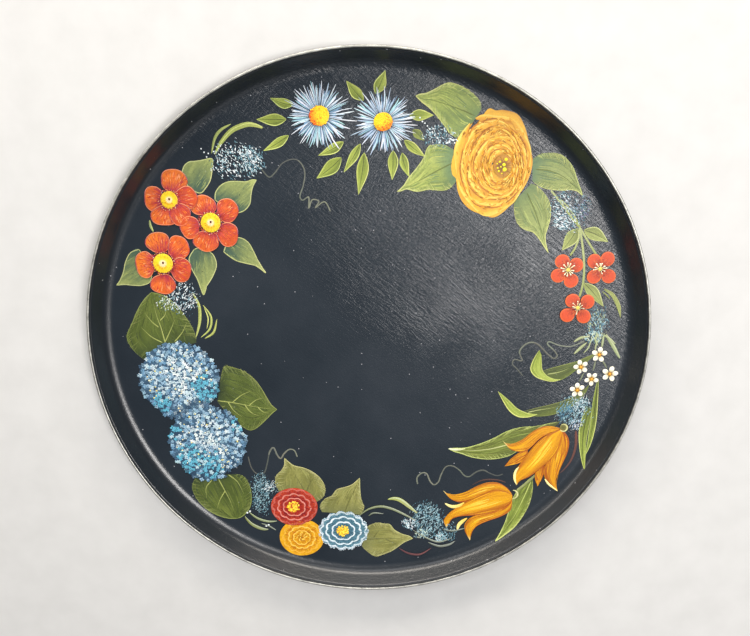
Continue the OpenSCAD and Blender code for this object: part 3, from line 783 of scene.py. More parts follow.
def paint_bloom(paint, number):
    """Five round petals, each brushed outwards from the eye: red at its foot, orange at its edge."""
    eye, eye_r, petals = BLOOMS[number]
    for (cx, cy), rx, ry, warm in petals:
        aim = atan2(cy - eye[1], cx - eye[0])
        reach = dist((cx, cy), eye)
        seed = paint.between(0, 90)
        outer = blend(RED, ORANGE, warm * 1.1 + 0.12)
        inner = blend(EMBER, MAGENTA, 0.35)

        def petal(x, y, share, a):
            away = np.hypot(x - eye[0], y - eye[1])
            t = (away - eye_r) / (reach + max(rx, ry) - eye_r)
            ray = np.arctan2(y - eye[1], x - eye[0])
            fine = mottle(ray * 26, away * 0.35, 1.0, seed) - 0.5
            left = ((cx - x) / rx) * 0.22 * (warm + 0.3)
            tone = smooth_step(t * 1.25 - 0.10 + 0.85 * fine + left)
            glow = smooth_step(1.5 - 2.4 * np.hypot((x - cx + 1.6) / rx, (y - cy - 0.6) / ry))
            colour = blend(blend(inner, outer, tone), np.multiply(ORANGE, 1.12), glow * (0.25 + 0.5 * warm))
            return colour * (0.84 + 0.32 * mottle(x, y, 1.3, seed))[..., None]

        ripple = [1 + 0.035 * sin(3 * a + seed) + 0.02 * sin(5 * a + 2 * seed) for a in np.linspace(0, TAU,
            26, endpoint=False)]
        outline = [(cx + rx * k * cos(a), cy + ry * k * sin(a)) for k,
                   a in zip(ripple, np.linspace(0, TAU, 26, endpoint=False))]
        paint.fill(outline, petal, 0.05, 9, 52, (cx, cy))
        for k in range(80):
            a = aim + paint.between(-0.62, 0.62)
            near = eye_r + paint.between(-0.3, 3.5)
            far = near + paint.between(2.2, 5.5)
            foot, head = polar(eye, near, a), polar(eye, far, a + paint.between(-0.08, 0.08))
            if hypot((head[0] - cx) / rx, (head[1] - cy) / ry) > 0.93 or hypot((foot[0] - cx) / rx,
                (foot[1] - cy) / ry) > 1.0:
                continue
            tone = paint.between(0, 1)
            low = paint.near(MAGENTA if tone < 0.2 else EMBER if tone < 0.5 else RED, 0.15)
            paint.stroke([foot, head], paint.between(0.22, 0.46), low, paint.near(outer, 0.14), 0.05, 4,
                         "both")
        marks = []
        for k in range(46):
            a = aim + paint.between(-0.6, 0.6)
            near = reach + paint.between(-1.5, 3.0)
            head = polar(eye, near + paint.between(1.0, 3.2), a)
            if hypot((head[0] - cx) / rx, (head[1] - cy) / ry) < 0.95:
                colour = paint.near(paint.pick([outer, ORANGE, blend(ORANGE, CREAM, 0.25), RED]), 0.1)
                marks.append((polar(eye, near, a), head, 0.34, colour, colour))
        if marks:
            paint.touches(marks, 0.03)
        closed = outline + [outline[0]]
        paint.stroke(closed, 0.5, paint.near(PURPLE, 0.2), paint.near(EMBER, 0.2), 0.02, 50, "even", 1.0,
                     -0.01)
        paint.stroke(closed[:14], 0.42, paint.near(PINK_EDGE, 0.06), paint.near(PINK_EDGE, 0.1), 0.07, 26,
                     "both")
        paint.stroke(closed[13:], 0.42, paint.near(PINK_EDGE, 0.06), paint.near(outer, 0.1), 0.07, 26,
                     "both")
    for k in range(84):
        a = k / 84 * TAU + paint.between(-0.06, 0.06)
        near = eye_r + paint.between(-0.4, 0.5)
        colour = paint.pick([PURPLE, MAGENTA, PURPLE, EMBER, UMBER])
        paint.stroke([polar(eye, near, a), polar(eye, near + paint.between(0.9, 2.6),
            a + paint.between(-0.1, 0.1))],
                     paint.between(0.3, 0.5), paint.near(colour, 0.2), paint.near(RED, 0.2), 0.06, 4, "tip")
    for k in range(30):
        a = k / 30 * TAU + paint.between(-0.08, 0.08)
        paint.dot(polar(eye, eye_r + paint.between(0.35, 1.0), a), paint.between(0.16, 0.3),
                  paint.pick([PINK_EDGE, CREAM, ORANGE]), 0.1)


def paint_bloom_eye(paint, number):
    eye, eye_r, petals = BLOOMS[number]
    amber = srgb(226, 168, 24)
    paint.disc(eye, eye_r, lambda x, y, s, a: blend(CREAM, SUN,
        smooth_step(s * 3.6 - 0.7)) * (1 - 0.12 * mottle(x, y, 0.8))[..., None], 0.35, 1.0, 0.0, 8, 40)
    for k in range(44):
        a = k / 44 * TAU + paint.between(-0.05, 0.05)
        near = eye_r * paint.between(0.55, 0.8)
        paint.stroke([polar(eye, near, a), polar(eye, eye_r * paint.between(0.93, 1.06), a)], 0.5,
                     paint.near(SUN, 0.05), paint.near(amber if k % 3 == 0 else SUN, 0.1), 0.12, 4, "drop",
                     1.0, 0.26)
    for k in range(9):
        a = radians(190 + 16 * k) + paint.between(-0.08, 0.08)
        paint.stroke([polar(eye, eye_r * 0.42, a), polar(eye, eye_r * 0.66, a)], 0.34,
                     paint.near(srgb(214, 110, 20), 0.1), amber, 0.08, 4, "both", 1.0, 0.36)
    for k in range(10):
        a = k / 10 * TAU
        paint.stroke([polar(eye, 0.5, a), polar(eye, eye_r * 0.38, a + 0.2)], 0.45, paint.near(CREAM, 0.05),
                     CREAM, 0.06, 4, "both", 1.0, 0.36)
    paint.disc((eye[0] + 0.2, eye[1] + 0.4), 0.62, lambda x, y, s, a: np.broadcast_to(UMBER, (*x.shape, 3)),
               0.1, 1.0, 0.0, 3, 12, 0.42)


BLOOM_LEAF = (srgb(70, 92, 74), srgb(124, 136, 84), srgb(168, 176, 104))
BLOOM_LEAF_EDGE = srgb(186, 190, 130)
BLOOM_LEAVES = [
    ([(-98, 90), (-96.6, 93.4), (-94, 95.6), (-90.5, 96), (-86.5, 96.6), (-83, 97.4), (-81.3, 96.8),
      (-81.8, 93), (-82.4, 89), (-83.6, 85.4),
      (-86, 82), (-88.6, 79.6), (-92, 80.6), (-96, 84.5)], (-93, 81.5), (-81.5, 97)),
    ([(-81.2, 76), (-80.6, 80), (-77.6, 83.6), (-73.6, 85.4), (-69, 85.6), (-64.5, 85.4), (-61, 86.4),
      (-58.8, 86.3), (-60.8, 83),
      (-62, 78.6), (-62.8, 74), (-65.6, 70.6), (-69.4, 69.2), (-74, 70)], (-77, 71), (-59, 86.2)),
    ([(-78, 48), (-76, 52.4), (-71.6, 55.6), (-67.8, 55.4), (-64.4, 53), (-62.2, 49), (-60, 44),
      (-57.6, 39.6), (-55.8, 36.6), (-60.6, 40.4),
      (-66, 41.8), (-72, 43.6)], (-76, 50), (-56, 37)),
    ([(-94, 49.4), (-97, 44.4), (-96, 39), (-93.2, 33), (-91.6, 27.6), (-90.2, 24.4), (-88.4, 29.2),
      (-84.8, 34.6), (-82.4, 40.6), (-83.6, 46),
      (-87, 49), (-90.5, 50.4)], (-90.5, 50), (-90.2, 24.6)),
    ([(-124, 49.4), (-128.8, 47.4), (-131.8, 42.4), (-133.4, 37), (-135.6, 32.4), (-137.8, 29.6),
      (-133.2, 30), (-129, 29.6), (-123.8, 29.6),
      (-119, 32), (-118.4, 40)], (-119, 42), (-137.6, 29.8)),
]


def make_blooms():
    for k in range(3):
        paint = Paint(10 + k)
        paint_bloom(paint, k)
        paint.level += 0.05 * k
        paint.finish(f"bloom_{k + 1}_petals", PETAL_PAINT, "red_paint", f"bloom_{k + 1}")
    eyes = Paint(20)
    eyes.level = 0.42
    for k in range(3):
        paint_bloom_eye(eyes, k)
    eyes.finish("bloom_eye_discs", PETAL_PAINT, "yellow_paint", "bloom_eyes")
    for k, (outline, base, tip) in enumerate(BLOOM_LEAVES):
        leaf = Paint(30 + k)
        leaf.level = 0.015
        paint_leaf(leaf, outline, base, tip, BLOOM_LEAF, BLOOM_LEAF_EDGE, grain=34)
        leaf.finish(f"bloom_leaf_stroke_{k + 1}", LEAF_PAINT, "leaf_green_paint", f"bloom_leaf_{k + 1}")


make_blooms()


# ---------------------------------------------------------------- asters

ASTER_YELLOW, ASTER_AMBER, ASTER_RUST = srgb(255, 204, 30), srgb(242, 146, 24), srgb(214, 78, 24)
ICE = srgb(226, 232, 242)
SKY_TINT = srgb(174, 218, 222)
LAVENDER = srgb(178, 196, 216)
SLATE_BLUE = srgb(110, 144, 172)
NIGHT_BLUE = srgb(48, 70, 100)
ASTERS = [((-25, 119), 17.6, 5.2), ((8, 116), 16.6, 4.9)]


def paint_aster(paint, number):
    """Rays of many fine strokes laid from dark to light, longer and shorter by turns."""
    at, reach, eye_r = ASTERS[number]
    coats = [
        (60, 0.80, 0.7, (NIGHT_BLUE, SLATE_BLUE)),
        (62, 0.92, 0.5, (SLATE_BLUE, SKY_TINT, SLATE_BLUE)),
        (56, 1.0, 0.46, (SKY_TINT, LAVENDER, ICE)),
        (40, 1.12, 0.5, (ICE, LAVENDER, ICE)),
    ]
    for count, long, wide, colours in coats:
        marks = []
        for k in range(count):
            a = (k + paint.between(-0.6, 0.6)) / count * TAU
            near = eye_r * paint.between(0.6, 1.15)
            far = reach * long * paint.between(0.6, 1.0)
            colour = paint.pick(colours)
            marks.append((polar(at, near, a), polar(at, far, a + paint.between(-0.05, 0.05)),
                          wide * paint.between(0.6, 1.25), paint.near(blend(colour, SLATE_BLUE, 0.35),
                              0.15),
                          paint.near(colour, 0.08), paint.between(-0.5, 0.5)))
        paint.touches(marks, 0.06, "foot")


def paint_aster_eye(paint, number):
    at, reach, r = ASTERS[number]
    shade = 200 if number == 0 else 300

    def disc(x, y, share, a):
        side = (x - at[0]) * cos(radians(shade)) + (y - at[1]) * sin(radians(shade))
        tone = smooth_step(side / r * 0.9 + 0.25 + 0.5 * (share - 0.6))
        return blend(ASTER_YELLOW, ASTER_AMBER, tone)

    paint.disc(at, r, disc, 0.22, 0.95, 0.3, 7, 36)
    spots, sizes, colours = [], [], []
    for k in range(120):
        away, a = r * sqrt(paint.between(0, 1)) * 0.98, paint.between(0, TAU)
        spot = polar(at, away, a)
        side = cos(a - radians(shade)) * away / r
        colour = ASTER_RUST if side > paint.between(0.3, 1.2) else ASTER_AMBER if side > paint.between(-0.5,
            0.7) else ASTER_YELLOW
        spots.append(spot)
        sizes.append(paint.between(0.25, 0.5))
        colours.append(paint.near(colour, 0.12))
    paint.dots(spots, sizes, colours, 0.12)


ASTER_LEAF = (srgb(84, 98, 36), srgb(130, 144, 58), srgb(182, 194, 92))
ASTER_LEAF_EDGE = srgb(204, 212, 122)
ASTER_LEAVES = [
    ((-38, 124.5), (-50, 127.8), 4.6, 0.8), ((-42, 117.2), (-57.5, 117.2), 5.6, 0.2),
                ((-41, 109.2), (-54.5, 101.4), 4.2, 0.5),
    ((-2, 126.6), (-10.8, 136.2), 5.2, 0.4), ((4, 129.8), (9, 141.2), 5.6, -0.4),
                ((-12.5, 106), (-25.8, 99), 4.6, 0.6),
    ((-13.8, 98), (-27, 87.2), 6.6, 0.6), ((-3.8, 105), (-12.6, 90.4), 4.2, 0.3),
                ((-1.8, 100.5), (-5, 78.8), 5.8, 0.4),
    ((13.2, 101.6), (12.8, 86.4), 5.0, 0.2), ((18, 100.4), (21.8, 88), 4.2, -0.6),
                ((19, 106.8), (30, 98.4), 4.2, -0.3),
    ((21.6, 119), (34, 119.2), 5.2, 0.2), ((23.4, 112), (29.4, 106.6), 4.0, 0.1),
]


def oval_edges(base, tip, wide, bow=0.0):
    """The two edges of a pointed leaf that leans to one side by bow."""
    base, tip = np.array(base, float), np.array(tip, float)
    run = tip - base
    aside = np.array([-run[1], run[0]]) / np.hypot(*run)
    marks = ((0, 0.0), (0.12, 0.52), (0.3, 0.96), (0.45, 1.0), (0.62, 0.78), (0.8, 0.4), (0.93, 0.14),
             (1, 0.0))
    left = [tuple(base + run * t + aside * (wide / 2 * w + bow * sin(pi * t))) for t, w in marks]
    right = [tuple(base + run * t + aside * (-wide / 2 * w + bow * sin(pi * t))) for t, w in marks]
    return left, right


def paint_blade(paint, left, right, shades, edge, lines=14, fine=0.32, shadow=0.0, rib=True):
    """A blade or small leaf brushed along its length between two edges."""
    deep, middle, light = shades
    seed = paint.between(0, 60)

    def body(x, y, t, s):
        tone = 0.35 + 0.45 * t + 0.4 * (s - 0.5) - shadow * (1 - t) + 0.5 * (mottle(s * 7, t * 2.5, 1.0,
            seed) - 0.5)
        lower = blend(deep, middle, smooth_step(tone * 1.7))
        return blend(lower, light, smooth_step(tone * 1.7 - 0.8))

    paint.loft(left, right, body, 0.05, 34, 9)
    a, b = smooth_way(left, 40), smooth_way(right, 40)
    for k in range(lines):
        s = paint.between(0.12, 0.88)
        i = int(paint.between(1, 22))
        j = min(38, i + int(paint.between(8, 20)))
        way = [tuple(a[m] * (1 - s) + b[m] * s) for m in (i, (i + j) // 2, j)]
        tone = paint.between(0, 1)
        colour = blend(middle, light if tone > 0.4 else deep, 0.25 + 0.6 * abs(tone - 0.5))
        paint.stroke(way, fine * paint.between(0.7, 1.4), paint.near(colour, 0.1), None, 0.03, 7)
    paint.stroke(left, fine * 1.3, paint.near(edge, 0.08), None, 0.05, 24, "both")
    paint.stroke(right, fine * 1.1, paint.near(blend(edge, middle, 0.4), 0.1), None, 0.05, 24, "both")
    if rib:
        way = [tuple(a[m] * 0.5 + b[m] * 0.5) for m in (3, 14, 26, 36)]
        paint.stroke(way, fine * 1.6, paint.near(blend(deep, srgb(30, 36, 20), 0.45), 0.1), None, 0.05, 12,
                     "tip")


def make_asters():
    for k in range(2):
        paint = Paint(40 + k)
        paint.level += 0.02 * k
        paint_aster(paint, k)
        paint.finish(f"aster_{k + 1}_rays", PETAL_PAINT, "aster_paint", f"aster_{k + 1}")
    eyes = Paint(42)
    eyes.level = 0.36
    paint_aster_eye(eyes, 0)
    paint_aster_eye(eyes, 1)
    eyes.finish("aster_eye_discs", PETAL_PAINT, "gold_paint", "aster_eyes")
    leaves = Paint(43)
    leaves.level = 0.015
    for base, tip, wide, bow in ASTER_LEAVES:
        left, right = oval_edges(base, tip, wide, bow)
        faint = wide == 4.0
        shades = tuple(blend(c, srgb(60, 66, 56), 0.45) for c in ASTER_LEAF) if faint else ASTER_LEAF
        paint_blade(leaves, left, right, shades, shades[2] if faint else ASTER_LEAF_EDGE, 8, 0.36)
        leaves.level = 0.015
    leaves.finish("aster_leaf_strokes", LEAF_PAINT, "leaf_green_paint", "aster_leaves")


# ---------------------------------------------------------------- rose

ROSE_LIGHT = srgb(246, 214, 106)
ROSE_MID = srgb(228, 174, 50)
ROSE_GOLD = srgb(234, 164, 18)
ROSE_SHADE = srgb(188, 118, 24)
ROSE_DEEP = srgb(124, 70, 20)
ROSE_OUTLINE = [(62, 122.4), (66, 121.6), (70, 121.8), (77, 119.8), (81, 114), (83.4, 107), (85.2, 101),
                (86.2, 95), (84.8, 88), (82, 82), (77.4, 75.6), (72.4, 70),
                (67, 66.8), (62, 68), (55, 70.6), (50.2, 75), (47.4, 81), (46.4, 87), (44.4, 89.4),
                (43.8, 95), (46, 103), (49.6, 110), (54, 112.6), (57.6, 116.6)]
ROSE_HEART = (70.4, 93.6)


def rose_ring(u, a):
    """A place on one of the petal rings: u is 0 at the outside and 1 round the heart."""
    cx, cy = 64.8 + 5.6 * u, 94.6 - 1.4 * u
    wave = 1 + 0.035 * sin(3 * a + 9 * u) + 0.02 * sin(7 * a + 23 * u) * (1 - u)
    rx, ry = (20.2 * (1 - u) + 3.6 * u) * wave, (26.6 * (1 - u) + 4.6 * u) * wave
    return (cx + rx * cos(a), cy + ry * sin(a))


def paint_rose(paint):
    """Closely wrapped petals: each ring has a light rim, a warm face and a brown fold behind it."""

    def ground(x, y, share, a):
        depth = np.hypot((x - ROSE_HEART[0]) / 20, (y - ROSE_HEART[1]) / 26)
        wave = 0.5 + 0.5 * np.sin(depth * 34 + 1.4 * np.sin(a * 2 + 1) + 2 * mottle(x, y, 9, 3))
        tone = 0.45 * wave + 0.55 * mottle(x, y, 6, 7)
        return blend(ROSE_SHADE, ROSE_MID, smooth_step(tone * 1.5))

    paint.fill(ROSE_OUTLINE, ground, 0.06, 14, 96, (65, 95))
    petals = [
        # ring, first angle, last angle in degrees, width of the face
        (0.03, 62, 118, 4.4), (0.02, 10, 66, 3.4), (0.03, 128, 192, 4.6), (0.05, 196, 262, 4.8),
              (0.04, 250, 318, 4.4), (0.05, 304, 372, 3.6),
        (0.20, 70, 150, 4.0), (0.19, 150, 236, 4.2), (0.22, 222, 300, 4.0), (0.20, 292, 356, 3.2),
              (0.22, -6, 74, 3.2),
        (0.38, 84, 176, 3.4), (0.37, 168, 262, 3.8), (0.40, 246, 334, 3.2), (0.38, -30, 90, 2.8),
        (0.54, 104, 214, 3.0), (0.55, 200, 310, 2.8), (0.54, -60, 112, 2.4),
        (0.70, 60, 190, 2.4), (0.70, 176, 300, 2.4), (0.71, -70, 64, 2.2),
        (0.84, 40, 200, 1.8), (0.84, 190, 360, 1.8),
    ]
    for ring, first, last, wide in petals:
        warm = paint.between(0, 1)
        marks = [radians(first + (last - first) * t) for t in np.linspace(0, 1, 9)]
        inward = wide / 16.4 / 1.15
        fold = [rose_ring(min(0.99, ring + inward * (0.15 + 0.85 * sin(pi * t))), a) for t,
                a in zip(np.linspace(0, 1, 9), marks)]
        rim = [rose_ring(ring, a) for a in marks]
        light = blend(ROSE_LIGHT, ROSE_GOLD, 0.25 * warm)
        face = blend(ROSE_MID, ROSE_GOLD, warm * 0.7)
        shade = blend(ROSE_SHADE, ROSE_MID, 0.25 + 0.3 * warm)
        seed = paint.between(0, 80)

        def petal(x, y, t, s):
            fine = mottle(s * 8, t * 3, 1.0, seed) - 0.5
            tone = smooth_step((s + 0.35 * fine) * 1.5 - 0.3)
            low_tone = blend(light, face, smooth_step((s + 0.3 * fine) * 2.6))
            return blend(low_tone, shade, tone)

        paint.loft(rim, fold, petal, 0.03, 40, 9)
        paint.level -= 0.022
        for k in range(9):
            s = paint.between(0.05, 0.95)
            t0 = paint.between(0.02, 0.6)
            t1 = min(0.98, t0 + paint.between(0.22, 0.5))
            way = []
            for t in np.linspace(t0, t1, 4):
                a = radians(first + (last - first) * t)
                way.append(rose_ring(min(0.99, ring + inward * s * (0.15 + 0.85 * sin(pi * t))), a))
            colour = blend(blend(light, face, s * 1.6), shade, max(0.0, s * 1.4 - 0.5))
            paint.stroke(way, paint.between(0.3, 0.7), paint.near(colour, 0.14), paint.near(colour, 0.1),
                         0.04, 12)
        paint.stroke(rim, 0.55 * paint.between(0.8, 1.3), paint.near(light, 0.06), paint.near(face, 0.08),
                     0.06, 30)
        if ring > 0.1:
            behind = [rose_ring(ring - 0.035, a) for a in marks[1:-1]]
            paint.stroke(behind, 1.0 - 0.5 * ring, paint.near(blend(ROSE_SHADE, ROSE_DEEP, 0.55), 0.1),
                         paint.near(ROSE_SHADE, 0.1), 0.02, 26)
    marks = []
    for k in range(640):
        u, a = paint.between(0.03, 0.86) ** 0.8, paint.between(0, TAU)
        turn = paint.between(0.05, 0.16) / (1.15 - u)
        head = rose_ring(min(0.9, max(0.0, u + paint.between(-0.035, 0.05))), a + turn)
        width = paint.between(0.22, 0.5)
        tone = paint.between(0, 1)
        colour = (ROSE_DEEP if tone < 0.2 else ROSE_SHADE if tone < 0.55
                  else ROSE_GOLD if tone < 0.72 else ROSE_LIGHT)
        marks.append((rose_ring(u, a), head, width, paint.near(colour, 0.1),
                      paint.near(blend(colour, ROSE_MID, 0.5), 0.1), paint.between(-0.25, 0.1)))
    paint.touches(marks, 0.04)
    for k in range(12):
        spot = (58.5 + paint.between(-3.4, 5.5), 110.4 + paint.between(-1.6, 2.0))
        a = radians(28 + paint.between(-20, 20))
        paint.stroke([spot, polar(spot, paint.between(1.2, 3.0), a)], paint.between(0.3, 0.55),
                     paint.near(ROSE_DEEP, 0.2), ROSE_SHADE, 0.04, 5)


def paint_rose_heart(paint):
    brown, gold_brown, lemon = srgb(112, 72, 26), srgb(176, 122, 38), srgb(238, 222, 44)

    def hollow(x, y, share, a):
        return blend(brown, gold_brown, smooth_step(share * 1.5 - 0.4 + 0.4 * (mottle(a * 5, share * 2, 1,
            2) - 0.5)))

    paint.disc(ROSE_HEART, 4.7, hollow, 0.04, 1.2, 0.0, 7, 34)
    marks = []
    for k in range(60):
        a = paint.between(0, TAU)
        near = paint.between(1.2, 3.6)
        marks.append((polar(ROSE_HEART, near, a), polar(ROSE_HEART, near + paint.between(1.2, 3.2),
            a + 0.1),
                      paint.between(0.3, 0.5), paint.near(brown, 0.25),
                      paint.near(ROSE_MID if k % 2 else gold_brown, 0.12)))
    paint.touches(marks, 0.04, "tip")
    stamens = [(72.2, 97.0, 0.9), (71.2, 94.3, 0.95), (71.6, 91.9, 1.15), (69.0, 95.8, 0.6),
               (68.6, 91.0, 0.6), (68.0, 92.6, 0.5), (69.6, 93.2, 0.5), (67.6, 94.8, 0.4),
               (70.2, 89.8, 0.4)]
    paint.dots([(x, y) for x, y, r in stamens], [r for x, y, r in stamens], [lemon] * len(stamens), 0.2)


ROSE_LEAF = (srgb(92, 112, 66), srgb(144, 158, 80), srgb(194, 200, 112))
TEAL_SHADE = srgb(78, 112, 86)
ROSE_LEAVES = [
    # upper edge and lower edge, both from base to tip
    ([(58.4, 122), (57.6, 126), (53.6, 130), (48.4, 133.2), (43, 135), (39.4, 134.6), (34, 131.8),
      (30, 130), (27, 129.6), (24.6, 128.8)],
     [(52, 112), (47, 108.2), (43, 110), (39.4, 114.4), (36, 118.6), (33, 121.8), (30.4, 124),
      (28.4, 125.4), (26.6, 127), (24.6, 128.8)]),
    ([(46, 101), (40, 104.2), (33.4, 104.2), (31, 102.6), (29.4, 98), (25.6, 92.4), (21.6, 87.6),
      (19.4, 84), (17.2, 81.6), (15.4, 80.4)],
     [(46.6, 86), (43.6, 82.4), (40, 81), (36, 81.2), (32, 81.6), (28.4, 80.8), (25, 80.6), (20.6, 81.8),
      (17.6, 80.8), (15.4, 80.4)]),
    ([(86, 97), (90, 99.6), (95, 100.2), (100, 99.6), (104, 97), (107.6, 92.4), (109.6, 87.6), (111, 84),
      (112.4, 81), (113.4, 78.4)],
     [(86.6, 86), (89, 84), (92.4, 82.4), (96, 81.6), (100, 81.2), (104, 81.2), (107.6, 81.4),
      (110.2, 80.8), (112, 79.6), (113.4, 78.4)]),
    ([(86, 84.6), (90, 82.6), (94.6, 77.6), (96.8, 72.4), (97, 66.4), (96, 61.4), (95, 57.6), (95.2, 54),
      (96, 51), (97.2, 47.8)],
     [(77.4, 75), (77.8, 70), (79, 65.6), (81.4, 62), (84.4, 60.2), (88, 59.2), (90.6, 57), (92.8, 54.2),
      (95, 51), (97.2, 47.8)]),
]


def paint_broad_leaf(paint, upper, lower, shades, edge, base_shade, ribs, rib_colour, lines=70, fine=0.34,
                     tone_shift=0.0, top_shade=0.0):
    """A broad leaf between two edges, brushed along with many fine strokes, darker at its foot."""
    deep, middle, light = shades
    seed = paint.between(0, 70)

    def body(x, y, t, s):
        grain = mottle(s * 13, t * 3.2, 1.0, seed) - 0.5
        cloud = mottle(x, y, 7, seed) - 0.5
        tone = 0.42 + 0.34 * t + 0.5 * grain + 0.4 * cloud + tone_shift - top_shade * (1 - s)
        lower_tone = blend(deep, middle, smooth_step(tone * 1.6))
        colour = blend(lower_tone, light, smooth_step(tone * 1.5 - 0.75))
        return blend(colour, base_shade, 0.75 * smooth_step(0.95 - t * 3.2 + 0.5 * cloud))

    paint.loft(upper, lower, body, 0.05, 46, 15)
    a, b = smooth_way(upper, 60), smooth_way(lower, 60)
    for k in range(lines):
        s = paint.between(0.03, 0.97)
        i = int(paint.between(3, 44))
        j = min(58, i + int(paint.between(6, 16)))
        drift = paint.between(-0.03, 0.03)
        way = [tuple(a[m] * (1 - s - d) + b[m] * (s + d)) for m,
               d in ((i, 0), ((i + j) // 2, drift * 0.3), (j, drift))]
        tone = paint.between(0, 1)
        colour = blend(middle, light if tone > 0.42 else deep, 0.2 + 0.8 * abs(tone - 0.5))
        if i < 18 and paint.between(0, 1) < 0.6:
            colour = blend(colour, base_shade, 0.6)
        paint.stroke(way, fine * paint.between(0.7, 1.5), paint.near(colour, 0.12), None, 0.03, 6)
    marks = []
    for k in range(90):
        way = a if k % 2 else b
        i = int(paint.between(3, 52))
        inward = (b[i] - a[i]) * (0.5 if k % 2 else -0.5)
        marks.append((way[i] - inward * paint.between(0.0, 0.06),
                      way[min(59, i + 4)] + inward * paint.between(0.05, 0.5), 0.3, paint.near(edge, 0.14),
                      paint.near(blend(deep, middle, paint.between(0, 1)), 0.14)))
    paint.touches(marks, 0.03)
    paint.stroke(upper, fine * 1.4, paint.near(blend(edge, middle, 0.5), 0.08), paint.near(edge, 0.06),
                 0.05, 40, "foot")
    paint.stroke(lower, fine * 1.4, paint.near(blend(edge, middle, 0.5), 0.08), paint.near(edge, 0.06),
                 0.05, 40, "foot")
    for way in ribs:
        paint.stroke(way, fine * 1.5, rib_colour, blend(rib_colour, middle, 0.5), 0.05, 20, "tip")


def make_rose():
    paint = Paint(50)
    paint.level = 0.12
    paint_rose(paint)
    top = paint.level
    paint.finish("rose_petals", PETAL_PAINT, "rose_paint", "rose")
    heart = Paint(51)
    heart.level = top - 0.02
    paint_rose_heart(heart)
    heart.finish("rose_heart_strokes", PETAL_PAINT, "brown_paint", "rose_heart")
    ribs = [
        [[(55, 119), (48, 122), (38, 125.4), (28, 128)]],
        [[(44, 95), (36, 91), (28, 86.6), (20, 82.4)]],
        [[(88, 92), (96, 91), (104, 87.4), (111, 81)]],
        [[(84, 80), (88, 72), (92, 62), (95.6, 52)]],
    ]
    for k, (upper, lower) in enumerate(ROSE_LEAVES):
        leaf = Paint(52 + k)
        leaf.level = 0.015
        shades = ROSE_LEAF if k < 2 else (srgb(96, 110, 68), srgb(136, 148, 86), srgb(172, 182, 112))
        paint_broad_leaf(leaf, upper, lower, shades, srgb(198, 204, 128),
                         TEAL_SHADE if k in (1, 2) else srgb(92, 116, 76), ribs[k], srgb(92, 104, 50), 90,
                         0.4)
        leaf.finish(f"rose_leaf_stroke_{k + 1}", LEAF_PAINT, "leaf_green_paint", f"rose_leaf_{k + 1}")


# ---------------------------------------------------------------- hydrangeas

HYDRANGEAS = [
    ((-107, -24.5), 23.6, 22.4, [((-92, -30), 8.5), ((-117, -38), 6)]),
    ((-93, -63), 23.2, 23.8, [((-103, -74), 9), ((-92, -77), 8), ((-112, -56), 5), ((-74, -52), 5)]),
]
PALE_BLUE = srgb(184, 204, 212)
MID_BLUE = srgb(134, 168, 190)
CORN_BLUE = srgb(98, 138, 168)
DEEP_BLUE = srgb(30, 50, 72)
TURQUOISE = srgb(90, 166, 190)
SNOW = srgb(216, 226, 226)


